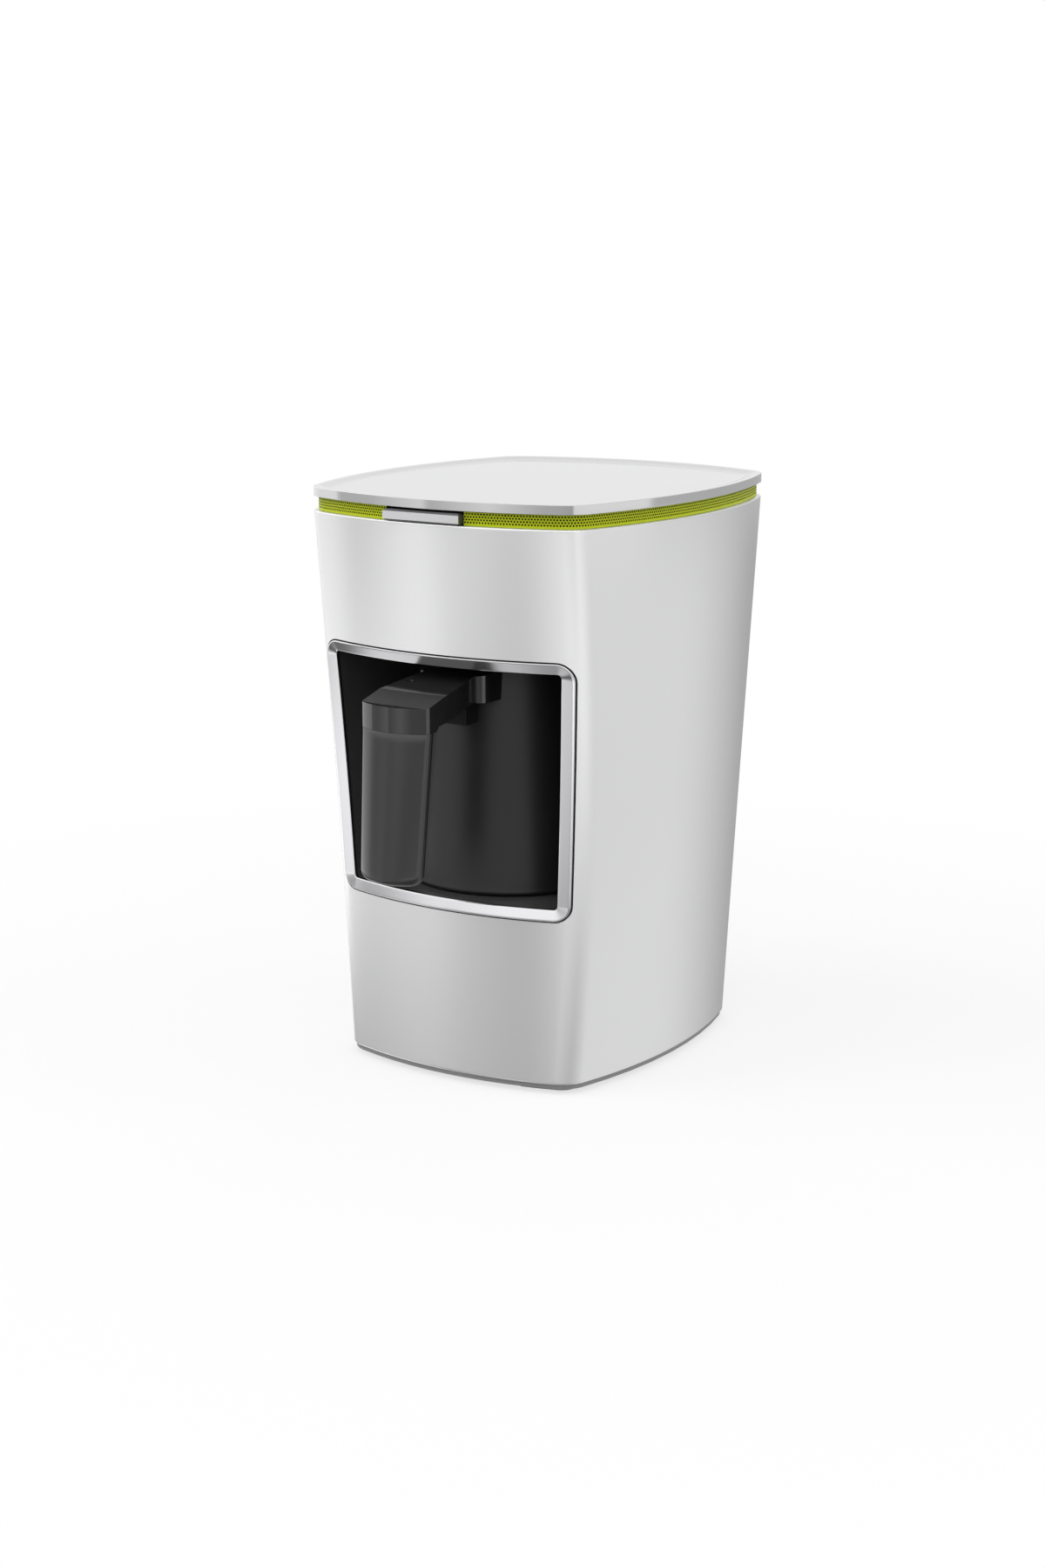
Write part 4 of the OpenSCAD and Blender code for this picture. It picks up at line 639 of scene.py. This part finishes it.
def makeBand():
    low, high = nodeBox("grille_band")
    pitch, rise, rows = band["pitch"], band["rise"], band["rows"]
    outer = lidOutline(band["inset"])
    columns = round(evenWalk(outer, 1)[1] / pitch)
    # a flat strip of honeycomb cells, which is wrapped round the outline once each cell has its hole
    topCorner = (pitch ** 2 / 4 + rise ** 2) / (2 * rise)
    sideCorner = (rise ** 2 - pitch ** 2 / 4) / (2 * rise)
    corners = [(0, topCorner), (-pitch / 2, sideCorner), (-pitch / 2, -sideCorner), (0, -topCorner),
               (pitch / 2, -sideCorner), (pitch / 2, sideCorner)]
    bm = bmesh.new()
    for row in range(rows):
        shift = pitch / 2 * (row % 2)
        edges = ring(bm, [(x + shift, 0, z + row * rise) for x, z in corners])
        bmesh.ops.edgeloop_fill(bm, edges=edges)
    have = 1
    while have < columns:
        more = min(have, columns - have)
        reach = (more + band["spare"]) * pitch
        cells = [cell for cell in bm.faces if cell.calc_center_median().x < reach]
        copied = bmesh.ops.duplicate(bm, geom=cells)["geom"]
        moved = [part for part in copied if isinstance(part, bmesh.types.BMVert)]
        bmesh.ops.translate(bm, vec=(have * pitch, 0, 0), verts=moved)
        have += more
    bmesh.ops.remove_doubles(bm, verts=bm.verts, dist=band["merge"])
    bmesh.ops.subdivide_edges(bm, edges=bm.edges[:], cuts=1)
    cells = bm.faces[:]
    bmesh.ops.inset_individual(bm, faces=cells, thickness=band["cellInset"])
    for cell in cells:
        middle = cell.calc_center_median()
        for vert in cell.verts:
            vert.co = middle + (vert.co - middle).normalized() * band["hole"]
    # the holes' bores and floors take the near-black frame plastic, painted shade inside the holes
    walls = bmesh.ops.extrude_discrete_faces(bm, faces=cells)["faces"]
    for cell in walls:
        for vert in cell.verts:
            vert.co.y += band["depth"]
        for edge in cell.edges:
            for face in edge.link_faces:
                face.material_index = 1
    # plain margins above and below the holes
    first = low.z + band["foot"] + topCorner
    for vert in bm.verts:
        vert.co.z += first
    rim = [edge for edge in bm.edges if edge.is_boundary]
    span = columns * pitch
    tops = [edge for edge in rim if all(v.co.z > first + (rows - 1) * rise for v in edge.verts)]
    feet = [edge for edge in rim if all(v.co.z < first for v in edge.verts)]
    for edges, level in ((tops, high.z), (feet, low.z)):
        grown = bmesh.ops.extrude_edge_only(bm, edges=edges)["geom"]
        for part in grown:
            if isinstance(part, bmesh.types.BMVert):
                part.co.z = level
    count = columns * band["walkSteps"]
    walk = evenWalk(outer, count)[0]
    for vert in bm.verts:
        reach = (vert.co.x / span * count) % count
        k = int(reach)
        here = walk[k].lerp(walk[(k + 1) % count], reach - k)
        way = (walk[(k + 1) % count] - walk[k]).normalized()
        inward = Vector((-way.y, way.x)) * vert.co.y
        vert.co = (here.x + inward.x, here.y + inward.y, vert.co.z)
    bmesh.ops.remove_doubles(bm, verts=bm.verts, dist=band["wrapMerge"])
    # an opening for the button
    buttonLow, buttonHigh = nodeBox("button_face")
    left, right = buttonLow.x - band["buttonGap"], buttonHigh.x + band["buttonGap"]
    for x in (left, right):
        front = [face for face in bm.faces if face.calc_center_median().y < 0]
        parts = dict.fromkeys(part for face in front for part in (*face.verts, *face.edges, face))
        bmesh.ops.bisect_plane(bm, geom=list(parts), plane_co=(x, 0, 0), plane_no=(1, 0, 0))
    opening = [face for face in bm.faces
               if left < face.calc_center_median().x < right and face.calc_center_median().y < 0]
    bmesh.ops.delete(bm, geom=opening, context="FACES")
    bmesh.ops.reverse_faces(bm, faces=bm.faces)
    orderFaces(bm)
    piece = solid(bm, "perforatedBand", outward=False)
    # the second slot is the painted shade of the holes
    paint(piece, "lime_band", "frame_plastic")
    settle(piece, "machine", "lime_band", ["grille_band"], 40)


makeBand()
print("band done")

button = {"edge": 0.1, "faceDrop": 0.7, "barEdge": 0.7, "barInset": 0.05, "barStart": 0.2, "barDepth": 6.0,
          "flangeLap": 0.1, "flangeDepth": 7.5}


def makeButton():
    low, high = nodeBox("button_face")
    barLow, barHigh = nodeBox("button_body")
    drop, inset, lap = button["faceDrop"], button["barInset"], button["flangeLap"]
    barEnd = low.y + button["barDepth"]
    face = block("buttonFace", (low.x, low.y, low.z + drop), (high.x, high.y, high.z - drop),
                 button["edge"], 1)
    settle(face, "button", "button_metal", ["button_face"], 30)
    bar = block("buttonBar", (low.x + inset, low.y + button["barStart"], low.z),
                (high.x - inset, barEnd, high.z), button["barEdge"], 1)
    flange = block("flange", (barLow.x, barEnd - lap, low.z + lap),
                   (barHigh.x, low.y + button["flangeDepth"], high.z - lap))
    carve(bar, flange, "UNION")
    settle(bar, "button", "button_plastic", ["button_body"], 30)


makeButton()
print("button done")

# (share of the bar's width, how far it stands proud), from the outer wall over the crest inwards
bezelProfile = [(0.0, -1.6), (0.0, 0.2), (0.02, 0.38), (0.06, 0.48), (0.1, 0.5), (0.14, 0.48), (0.18, 0.43),
                (0.36, 0.17), (0.54, -0.09), (0.72, -0.35), (0.9, -0.61), (0.94, -0.68), (0.975, -0.8),
                (1.0, -1.0), (1.0, -2.4), (0.5, -2.4)]


def makeBezel():
    rings = []
    for share, proud in bezelProfile:
        radius = bezel["radius"] + (bezel["innerRadius"] - bezel["radius"]) * share
        outline = bezelOutline(bezel["side"] * share, bezel["sill"] * share, bezel["head"] * share, radius)
        rings.append([(x, frontAt(x, z, -proud), z) for x, z in outline])
    settle(skinned("bezelFrame", rings, closed=True), "machine", "chrome_trim", ["bezel"], 50, True)


makeBezel()
print("bezel done")

niche = {"sideGap": 1.2, "headGap": 1.2, "sillGap": 0.1, "edge": 3.0, "wall": 1.8, "backGap": 6.0,
         "backRadius": 28.0, "backSteps": 14, "sideStart": -70, "sideSteps": 6, "flange": 2.0,
         "flangeDepth": 2.7, "mouthDepth": 3.7, "sensorRadius": 9.15, "sensorCut": (-3, 4),
         "socketHalf": 17.2, "socketGap": 0.2, "socketCut": (-2, 6)}


def makeNiche():
    middleY, radius, depth = nodeMiddle("sensor_window")[1], niche["backRadius"], niche["flangeDepth"]
    back = middleY + nodeBox("pot_base_cup")[1].x + niche["backGap"]
    halfWide = bezel["topWidth"] / 2 - bezel["side"] + niche["sideGap"]
    mouth = bezelOutline(bezel["side"] - niche["sideGap"], bezel["sill"] - niche["sillGap"],
                         bezel["head"] - niche["headGap"], niche["edge"])
    rings = []
    for outline in (grownBezel(niche["flange"]), grownBezel(niche["flange"] / 2), mouth):
        rings.append([(x, frontAt(x, z, depth), z) for x, z in outline])
    for y in evenly(niche["sideStart"], back - radius, niche["sideSteps"]):
        rings.append([(x, max(y, frontAt(x, z, niche["mouthDepth"])), z) for x, z in mouth])
    for turn in evenly(0, pi / 2, niche["backSteps"])[1:-1]:
        narrow = (halfWide - radius + radius * cos(turn)) / halfWide
        rings.append([(x * narrow, back - radius + radius * sin(turn), z) for x, z in mouth])
    bm = bmesh.new()
    skin(bm, rings)
    edges = [edge for edge in bm.edges if edge.is_boundary and all(v.co.y > back - 2 for v in edge.verts)]
    rear = bmesh.ops.edgeloop_fill(bm, edges=edges)["faces"][0]
    for vert in rear.verts:
        vert.co.y = back
    bmesh.ops.recalc_face_normals(bm, faces=bm.faces)
    rear.normal_update()
    if rear.normal.y > 0:
        bmesh.ops.reverse_faces(bm, faces=bm.faces)
    piece = solid(bm, "nicheLiner", outward=False)
    wall = piece.modifiers.new("wall", "SOLIDIFY")
    wall.thickness = niche["wall"]
    wall.offset = -1
    bakeModifiers(piece)
    (windowLow, windowHigh), (socketLow, socketHigh) = nodeBox("sensor_window"), nodeBox("socket_housing")
    below, above = niche["sensorCut"]
    carve(piece, rod("hole", (0, middleY, windowLow.z + below), (0, middleY, windowHigh.z + above),
                     niche["sensorRadius"]))
    half, gap, (near, far) = niche["socketHalf"], niche["socketGap"], niche["socketCut"]
    carve(piece, block("opening", (-half, back + near, socketLow.z - gap),
                       (half, back + far, socketHigh.z + gap)))
    settle(piece, "machine", "black_liner", ["niche_liner"], 40)


makeNiche()
print("niche done")

# rimBend and ledge are (inward from the outer wall, above the rim or the split)
pot = {"footRadius": 43.0, "rimRadius": 35.5, "foot": 77.65, "rim": 170.05, "split": 96.15, "wall": 2.0,
       "forward": 25.0, "wallSteps": 22, "turnSteps": 160, "rimEdge": 1.0, "innerFoot": 1.9,
       "rimBend": [(0.12, -0.45), (0.45, -0.12), (1, 0), (1.55, -0.12), (1.88, -0.45)],
       "ledge": [(2.3, 1.5), (8.0, 1.5), (8.0, 0)], "spoutReach": 4.0, "spoutDrop": 11.0, "spoutWidth": 0.17}
potY = -pot["forward"]


def potRadius(z):
    t = (z - pot["foot"]) / (pot["rim"] - pot["foot"])
    return pot["footRadius"] + (pot["rimRadius"] - pot["footRadius"]) * t


def makePotWall():
    low, rim, edge, steps, drop = pot["split"], pot["rim"], pot["rimEdge"], pot["wallSteps"], pot["spoutDrop"]
    profile = ([(potRadius(z), z) for z in evenly(low, rim - edge, steps)]
               + [(potRadius(rim) - inward, rim + up) for inward, up in pot["rimBend"]]
               + [(potRadius(z) - pot["wall"], z) for z in evenly(rim - edge, low + pot["innerFoot"], steps)]
               + [(potRadius(low) - inward, low + up) for inward, up in pot["ledge"]])
    piece = turned("potWall", profile, potY, pot["turnSteps"])
    # pouring lips at both sides
    for vert in piece.data.vertices:
        x, y, rise = vert.co.x, vert.co.y - potY, (vert.co.z - rim + drop) / drop
        if rise > 0:
            turn = asin(min(1, abs(y) / sqrt(x ** 2 + y ** 2)))
            push = pot["spoutReach"] * exp(-(turn / pot["spoutWidth"]) ** 2) * rise * rise * (3 - 2 * rise)
            vert.co.x += push if x > 0 else -push
    settle(piece, "pot", "pot_plastic", ["pot_body"], 35)


# under is (inward from the foot's outline, above the foot)
cup = {"floor": 3.0, "cove": 1.0, "hole": 3.0, "under": [(7.0, 0.8), (6.4, 0.6), (6.0, 0)], "edge": 1.6,
       "edgeSteps": 6, "wallStart": 0.5, "wallSteps": 6, "bossRadius": 35.5, "screwHole": 3.2,
       "screwDepth": 2.4, "screwTurns": (30, 150, 270), "plugGap": 0.2, "plugCut": (30, 50)}


def makePotCup():
    low, high, wall = pot["foot"], pot["split"], pot["wall"]
    edge, hole, floor, foot = cup["edge"], cup["hole"], low + cup["floor"], potRadius(low)
    profile = ([(hole, low + cup["under"][0][1])] + [(foot - inward, low + up) for inward, up in cup["under"]]
               + [(foot - edge * (1 - sin(turn)), low + edge * (1 - cos(turn)))
                  for turn in evenly(0, pi / 2, cup["edgeSteps"])]
               + [(potRadius(z), z) for z in evenly(low + edge + cup["wallStart"], high, cup["wallSteps"])]
               + [(potRadius(high) - wall, high), (foot - wall - cup["cove"], floor), (hole, floor)])
    piece = turned("potCup", profile, potY, pot["turnSteps"])
    for turn in cup["screwTurns"]:
        x = cup["bossRadius"] * cos(radians(turn))
        y = potY + cup["bossRadius"] * sin(radians(turn))
        carve(piece, rod("recess", (x, y, low - 1), (x, y, low + cup["screwDepth"]), cup["screwHole"]))
    (plugLow, plugHigh), gap, (near, far) = nodeBox("pot_plug"), cup["plugGap"], cup["plugCut"]
    carve(piece, block("opening", (plugLow.x - gap, potY + near, plugLow.z - gap),
                       (plugHigh.x + gap, potY + far, plugHigh.z + gap)))
    settle(piece, "pot", "pot_plastic", ["pot_base_cup"], 35)


makePotWall()
makePotCup()
print("pot done")

handle = {"front": -113.0, "lean": 5.0, "topWidth": 31.5, "footWidth": 28.0, "thickness": 10.5, "bulge": 5.0,
          "gripHeight": 60.3, "seam": 151.75, "cap": 161.75, "brow": 164.9, "slope": 8.0, "browBack": 17.0,
          "saddleWidth": 33.0, "saddleRadius": 5.0, "saddleFront": -70.5, "neckHalf": 12.0, "screwBack": 4.6,
          "gripFillet": 3.0, "capFillet": 2.2, "backRadius": 3.0, "cover": 3.5, "coverGap": 0.05,
          "edge": 0.35, "gripEdge": 0.3, "footCorner": 4.5, "footRounding": 2.15, "browTilt": (0.94, 0.98),
          "neckStart": (2, 8), "saddleDrop": 4, "saddleBack": 10, "rimGap": 0.1, "spare": 5,
          "dimple": (-10.0, -83.0, 1.3), "dimpleLevels": [(0, -1.2), (0, -0.5), (0.9, 0.4), (0.9, 2.0)]}


def gripFront(z):
    return handle["front"] - handle["lean"] * (handle["seam"] - z) / handle["gripHeight"]


def gripHalf(z):
    lean = (handle["footWidth"] - handle["topWidth"]) * (handle["seam"] - z) / handle["gripHeight"]
    return (handle["topWidth"] + lean) / 2


# The bulging face of grip and cap in plan, rounded into the sides, a given way inside its skin
def gripFace(z, inset, fillet, steps=28, bends=6):
    half, bulge = gripHalf(z), handle["bulge"]
    radius = (half ** 2 + bulge ** 2) / (2 * bulge)
    middle = gripFront(z) + radius
    inner, across = radius - inset - fillet, half - inset - fillet
    reach = asin(across / inner)
    bend = (across, middle - sqrt(inner ** 2 - across ** 2))
    return (arcPoints((-bend[0], bend[1]), fillet, -pi / 2, -reach, bends)[:-1]
            + arcPoints((0, middle), radius - inset, -reach, reach, steps)
            + arcPoints(bend, fillet, reach, pi / 2, bends)[1:])


# How far a rounding of this radius stands in, at a height above its start
def roundedIn(radius, height):
    return radius - sqrt(radius ** 2 - max(0, radius - height) ** 2)


def gripPlan(z, inset):
    half = gripHalf(z) - inset
    radius = handle["backRadius"] - 0.6 * inset
    face = gripFace(z, inset, handle["gripFillet"] - 0.3 * inset)
    back = gripFront(z) + handle["thickness"] - inset - radius
    return (face + arcPoints((half - radius, back), radius, pi / 2, pi, 8)
            + arcPoints((radius - half, back), radius, pi, 1.5 * pi, 8))


def armTop(y):
    return handle["brow"] + (y - handle["front"] - handle["browBack"]) * tan(radians(handle["slope"]))


def potClearance():
    return skinned("clearance", [circle(0, potY, z, potRadius(z) + handle["rimGap"], 128)
                                 for z in (pot["foot"], pot["rim"] + 2 * handle["spare"])], capped=True)


def makeArm():
    front, seam, cap, spare = handle["front"], handle["seam"], handle["cap"], handle["spare"]
    rimFront, brow, rear = potY - pot["rimRadius"], front + handle["browBack"], front + handle["thickness"]
    saddleFront, saddleFoot, high = handle["saddleFront"], cap - handle["saddleDrop"], pot["rim"] + spare
    neckBack, neckDrop = handle["neckStart"]
    behind = [(saddleFront, saddleFoot), (potY, saddleFoot), (potY, armTop(rimFront)),
              (rimFront, armTop(rimFront))]
    side = [(front - 1, seam), (rear, seam), (rear + neckBack, cap - neckDrop), *behind,
            (brow, handle["brow"]), (front + handle["bulge"], cap), (front - 1, cap)]
    half, neck = handle["topWidth"] / 2, handle["neckHalf"]
    plan = gripFace(seam, 0, handle["capFillet"]) + [
        (half, brow), (neck, saddleFront), (neck, potY), (-neck, potY), (-neck, saddleFront), (-half, brow)]
    arm = prismX("handleArm", side, handle["topWidth"])
    carve(arm, prismZ("plan", plan, seam - spare, high), "INTERSECT")
    wide, radius = handle["saddleWidth"] / 2, handle["saddleRadius"]
    saddlePlan = (arcPoints((radius - wide, saddleFront + radius), radius, -pi / 2, 0, 10)
                  + arcPoints((wide - radius, saddleFront + radius), radius, 0, pi / 2, 10)
                  + [(wide, rimFront + handle["saddleBack"]), (-wide, rimFront + handle["saddleBack"])])
    saddle = prismX("saddle", behind + [(saddleFront, armTop(saddleFront))], handle["saddleWidth"])
    carve(saddle, prismZ("plan", saddlePlan, saddleFoot - 1, high), "INTERSECT")
    carve(arm, saddle, "UNION")
    carve(arm, potClearance())
    softenEdges(arm, handle["edge"], 2)
    # a small chamfered dimple in the top, its levels wider by and above the top
    x, y, radius = handle["dimple"]
    carve(arm, skinned("dimple", [circle(x, y, armTop(y) + rise, radius + wider, 32)
                                  for wider, rise in handle["dimpleLevels"]], capped=True))
    mergePoints(arm, 0.001)
    # the brow is satin and painted darker than the rest, a painted shade; the rest is gloss
    paint(arm, "arm_plastic", "arm_satin")
    least, most = handle["browTilt"]
    for face in arm.data.polygons:
        face.material_index = 1 if least < face.normal.z < most else 0
    settle(arm, "pot", "arm_plastic", ["handle_arm"], 40, True)


def makeGrip():
    foot = handle["seam"] - handle["gripHeight"]
    rounding, corner, gap = handle["footRounding"], handle["footCorner"], handle["coverGap"]
    rises = [corner * (1 - cos(turn)) for turn in evenly(0, pi / 2, 12)]
    rises += evenly(corner + 2, handle["gripHeight"] - handle["rimGap"], 14)
    rings = []
    for rise in rises:
        z, inset = foot + rise, roundedIn(rounding, rise)
        narrow = (gripHalf(z) - roundedIn(corner, rise)) / (gripHalf(z) - inset)
        rings.append([(x * narrow, y, z) for x, y in gripPlan(z, inset)])
    middle = (foot + handle["seam"]) / 2
    seamY = gripFront(middle) + handle["thickness"] - handle["cover"]
    across = Vector((0, 1, -handle["lean"] / handle["gripHeight"])).normalized()
    for name, node, keepFront in (("handleGrip", "handle_grip", True), ("gripCover", "grip_cover", False)):
        bm = bmesh.new()
        skin(bm, rings, capped=True)
        bmesh.ops.bisect_plane(bm, geom=bm.verts[:] + bm.edges[:] + bm.faces[:],
                               plane_co=(0, seamY - gap if keepFront else seamY + gap, middle),
                               plane_no=across, clear_outer=keepFront, clear_inner=not keepFront)
        bmesh.ops.edgeloop_fill(bm, edges=[edge for edge in bm.edges if edge.is_boundary])
        piece = solid(bm, name)
        softenEdges(piece, handle["gripEdge"], 2, 50)
        settle(piece, "pot", "grip_plastic", [node], 40)


bracket = {"back": 25, "edge": 0.8, "screwHole": 3.1, "screwDepth": 2.5}


def makeBracket():
    low, high = nodeBox("handle_bracket")
    piece = block("handleBracket", low, (high.x, potY - bracket["back"], high.z))
    carve(piece, potClearance())
    softenEdges(piece, bracket["edge"])
    screwY = handle["saddleFront"] + handle["screwBack"]
    carve(piece, rod("recess", (0, screwY, low.z - 1), (0, screwY, low.z + bracket["screwDepth"]),
                     bracket["screwHole"]))
    # the bracket is satin and painted darker, a painted shade
    paint(piece, "arm_satin")
    settle(piece, "pot", "arm_plastic", ["handle_bracket"], 40, True)


makeArm()
makeGrip()
makeBracket()
print("handle done")


def dressNodes():
    for entry in frame["record"]["subparts"]:
        piece = frame["nodes"][entry["node"]]
        piece.data.materials.clear()
        paint(piece, entry["material_slot"])


dressNodes()

studio = {"ambient": 0.55, "floorTone": 0.3, "floorLift": 0.7, "floorSize": 8.0, "fadeStart": 0.2,
          "fadeEnd": 0.5, "aimHeight": 0.12}
lamps = {
    "leftSoftbox": {"turn": -50, "tilt": 32, "away": 1.7, "size": (1.1, 1.5), "power": 9.0},
    "rightSoftbox": {"turn": 112, "tilt": 18, "away": 1.7, "size": (1.0, 1.4), "power": 6.0},
    "frontStrip": {"turn": 30, "tilt": 20, "away": 1.6, "size": (0.22, 1.3), "power": 2.2},
    "topSoftbox": {"turn": 20, "tilt": 80, "away": 1.5, "size": (1.2, 1.2), "power": 5.0},
}


def makeLamps():
    for name, lamp in lamps.items():
        light = bpy.data.lights.new(name, "AREA")
        light.shape = "RECTANGLE"
        light.size, light.size_y = lamp["size"]
        light.energy = lamp["power"]
        turn, tilt = radians(lamp["turn"]), radians(lamp["tilt"])
        way = Vector((sin(turn) * cos(tilt), -cos(turn) * cos(tilt), sin(tilt)))
        bulb = newObject(name, light)
        bulb.location = way * lamp["away"] + Vector((0, 0, studio["aimHeight"]))
        bulb.rotation_euler = way.to_track_quat("Z", "Y").to_euler()
        bulb.visible_glossy = False


# 1 for the rays that see the white background: camera, glossy and transmission
def backgroundRays(tree):
    path = addNode(tree, "ShaderNodeLightPath")
    seen = maths(tree, "MAXIMUM", path.outputs["Is Camera Ray"], path.outputs["Is Glossy Ray"])
    return maths(tree, "MAXIMUM", seen, path.outputs["Is Transmission Ray"])


def makeWorld():
    world = bpy.data.worlds.new("studio")
    world.use_nodes = True
    bpy.context.scene.world = world
    tree = world.node_tree
    backdrop = tree.nodes["Background"]
    strength = remap(tree, backgroundRays(tree), 0, 1, studio["ambient"], 1.0)
    backdrop.inputs["Color"].default_value = (1, 1, 1, 1)
    tree.links.new(strength, backdrop.inputs["Strength"])


def stageMaterial(name):
    material = bpy.data.materials.new(name)
    material.use_nodes = True
    tree = material.node_tree
    tree.nodes.remove(tree.nodes["Principled BSDF"])
    return material, tree, tree.nodes["Material Output"].inputs["Surface"]


# The floor fades into the white of the background
def makeFloor():
    bm = bmesh.new()
    bmesh.ops.create_grid(bm, x_segments=1, y_segments=1, size=studio["floorSize"])
    floor = solid(bm, "floor", outward=False)
    material, tree, surface = stageMaterial("pale floor")
    place = addNode(tree, "ShaderNodeTexCoord").outputs["Object"]
    away = addNode(tree, "ShaderNodeVectorMath", {0: place}, operation="LENGTH").outputs["Value"]
    tone = remap(tree, away, studio["fadeStart"], studio["fadeEnd"], studio["floorTone"], 0)
    lift = remap(tree, away, studio["fadeStart"], studio["fadeEnd"], studio["floorLift"], 1)
    matt = addNode(tree, "ShaderNodeBsdfDiffuse", {"Color": tone})
    seen = maths(tree, "MULTIPLY", backgroundRays(tree), lift)
    glow = addNode(tree, "ShaderNodeEmission", {"Strength": seen})
    both = addNode(tree, "ShaderNodeAddShader", {0: matt.outputs[0], 1: glow.outputs[0]})
    tree.links.new(both.outputs[0], surface)
    floor.data.materials.append(material)
    floor.visible_glossy = False


# What glossy surfaces see round the object: brightness by direction, below and above the lid's skirt, and
# how it falls with height in front
reflectors = {
    "radius": 1.2, "foot": -1.2, "head": 1.5, "sides": 64, "peak": 4.0, "split": (0.05, 0.09),
    "sky": (0.18, 0.3), "skyFront": 1.8, "skyBack": 0.93, "frontDrop": 0.2,
    "below": [(-180, 0.3), (-140, 0.8), (-100, 1.2), (-72, 1.1), (-70, 0.75), (-40, 1.25), (-31, 1.25),
              (-29, 1.0), (-5, 0.6), (0, 0.6), (12, 1.5), (45, 1.5), (90, 1.0), (145, 1.05), (180, 0.3)],
    "above": [(-180, 0.5), (-100, 1.3), (-67, 1.3), (-66, 0.55), (-52, 0.6), (-32, 1.15), (-30, 0.55),
              (-10, 1.15), (8, 0.55), (50, 0.45), (55, 1.3), (125, 1.3), (127, 0.6), (180, 0.5)],
    "front": [(-130, 0.0), (-100, 1.0), (60, 1.0), (100, 0.0)], "under": (-0.68, -0.56),
    "low": [(-75, 1.4), (-47, 1.1), (-43, 0.2), (-26, 0.15), (-21, 1.2), (-5, 0.6), (10, 0.4)],
    "falling": [(-1.2, 0.3), (-0.4, 0.15), (-0.33, 0.4), (-0.26, 1.8), (-0.18, 1.6), (-0.08, 1.05),
                (1.5, 1.0)],
}


def ramp(tree, value, stops, peak):
    first, last = stops[0][0], stops[-1][0]
    node = addNode(tree, "ShaderNodeValToRGB", {0: remap(tree, value, first, last, 0, 1)})
    elements = node.color_ramp.elements
    for k, (place, level) in enumerate(stops):
        share = (place - first) / (last - first)
        element = elements[k] if k < 2 else elements.new(share)
        element.position = share
        element.color = (level / peak, level / peak, level / peak, 1)
    return node.outputs[0]


def blended(tree, first, second, share):
    return addNode(tree, "ShaderNodeMix", {0: share, 2: first, 3: second}, data_type="FLOAT").outputs[0]


def makeReflectors():
    foot, head, peak = reflectors["foot"], reflectors["head"], reflectors["peak"]
    bm = bmesh.new()
    bmesh.ops.create_cone(bm, cap_ends=True, segments=reflectors["sides"], radius1=reflectors["radius"],
                          radius2=reflectors["radius"], depth=head - foot,
                          matrix=Matrix.Translation((0, 0, (foot + head) / 2)))
    bmesh.ops.delete(bm, geom=[face for face in bm.faces if face.normal.z > 0.9], context="FACES")
    tent = solid(bm, "reflectors", outward=False)
    material, tree, surface = stageMaterial("reflector cloth")
    place = addNode(tree, "ShaderNodeTexCoord").outputs["Object"]
    axes = addNode(tree, "ShaderNodeSeparateXYZ", {0: place}).outputs
    turn = maths(tree, "ARCTAN2", axes["X"], maths(tree, "MULTIPLY", axes["Y"], -1.0))
    degreesRound = maths(tree, "MULTIPLY", turn, 180 / pi)
    below = ramp(tree, degreesRound, reflectors["below"], peak)
    above = ramp(tree, degreesRound, reflectors["above"], peak)
    front = ramp(tree, degreesRound, reflectors["front"], 1)
    falling = maths(tree, "MULTIPLY", ramp(tree, axes["Z"], reflectors["falling"], peak), peak)
    under = maths(tree, "MULTIPLY", below, blended(tree, 1.0, falling, front))
    low = ramp(tree, degreesRound, reflectors["low"], peak)
    depth = maths(tree, "MULTIPLY", front, remap(tree, axes["Z"], *reflectors["under"], 1, 0))
    under = blended(tree, under, low, depth)
    height = maths(tree, "ADD", axes["Z"], maths(tree, "MULTIPLY", front, reflectors["frontDrop"]))
    level = blended(tree, under, above, remap(tree, height, *reflectors["split"], 0, 1))
    sky = blended(tree, reflectors["skyBack"] / peak, reflectors["skyFront"] / peak, front)
    level = blended(tree, level, sky, remap(tree, axes["Z"], *reflectors["sky"], 0, 1))
    glow = addNode(tree, "ShaderNodeEmission", {"Strength": maths(tree, "MULTIPLY", level, peak)})
    tree.links.new(glow.outputs[0], surface)
    tent.data.materials.append(material)
    tent.visible_camera = tent.visible_diffuse = tent.visible_transmission = False
    tent.visible_shadow = tent.visible_volume_scatter = False


makeLamps()
makeWorld()
makeFloor()
makeReflectors()
bpy.context.scene.view_settings.view_transform = "Standard"
print("studio done")
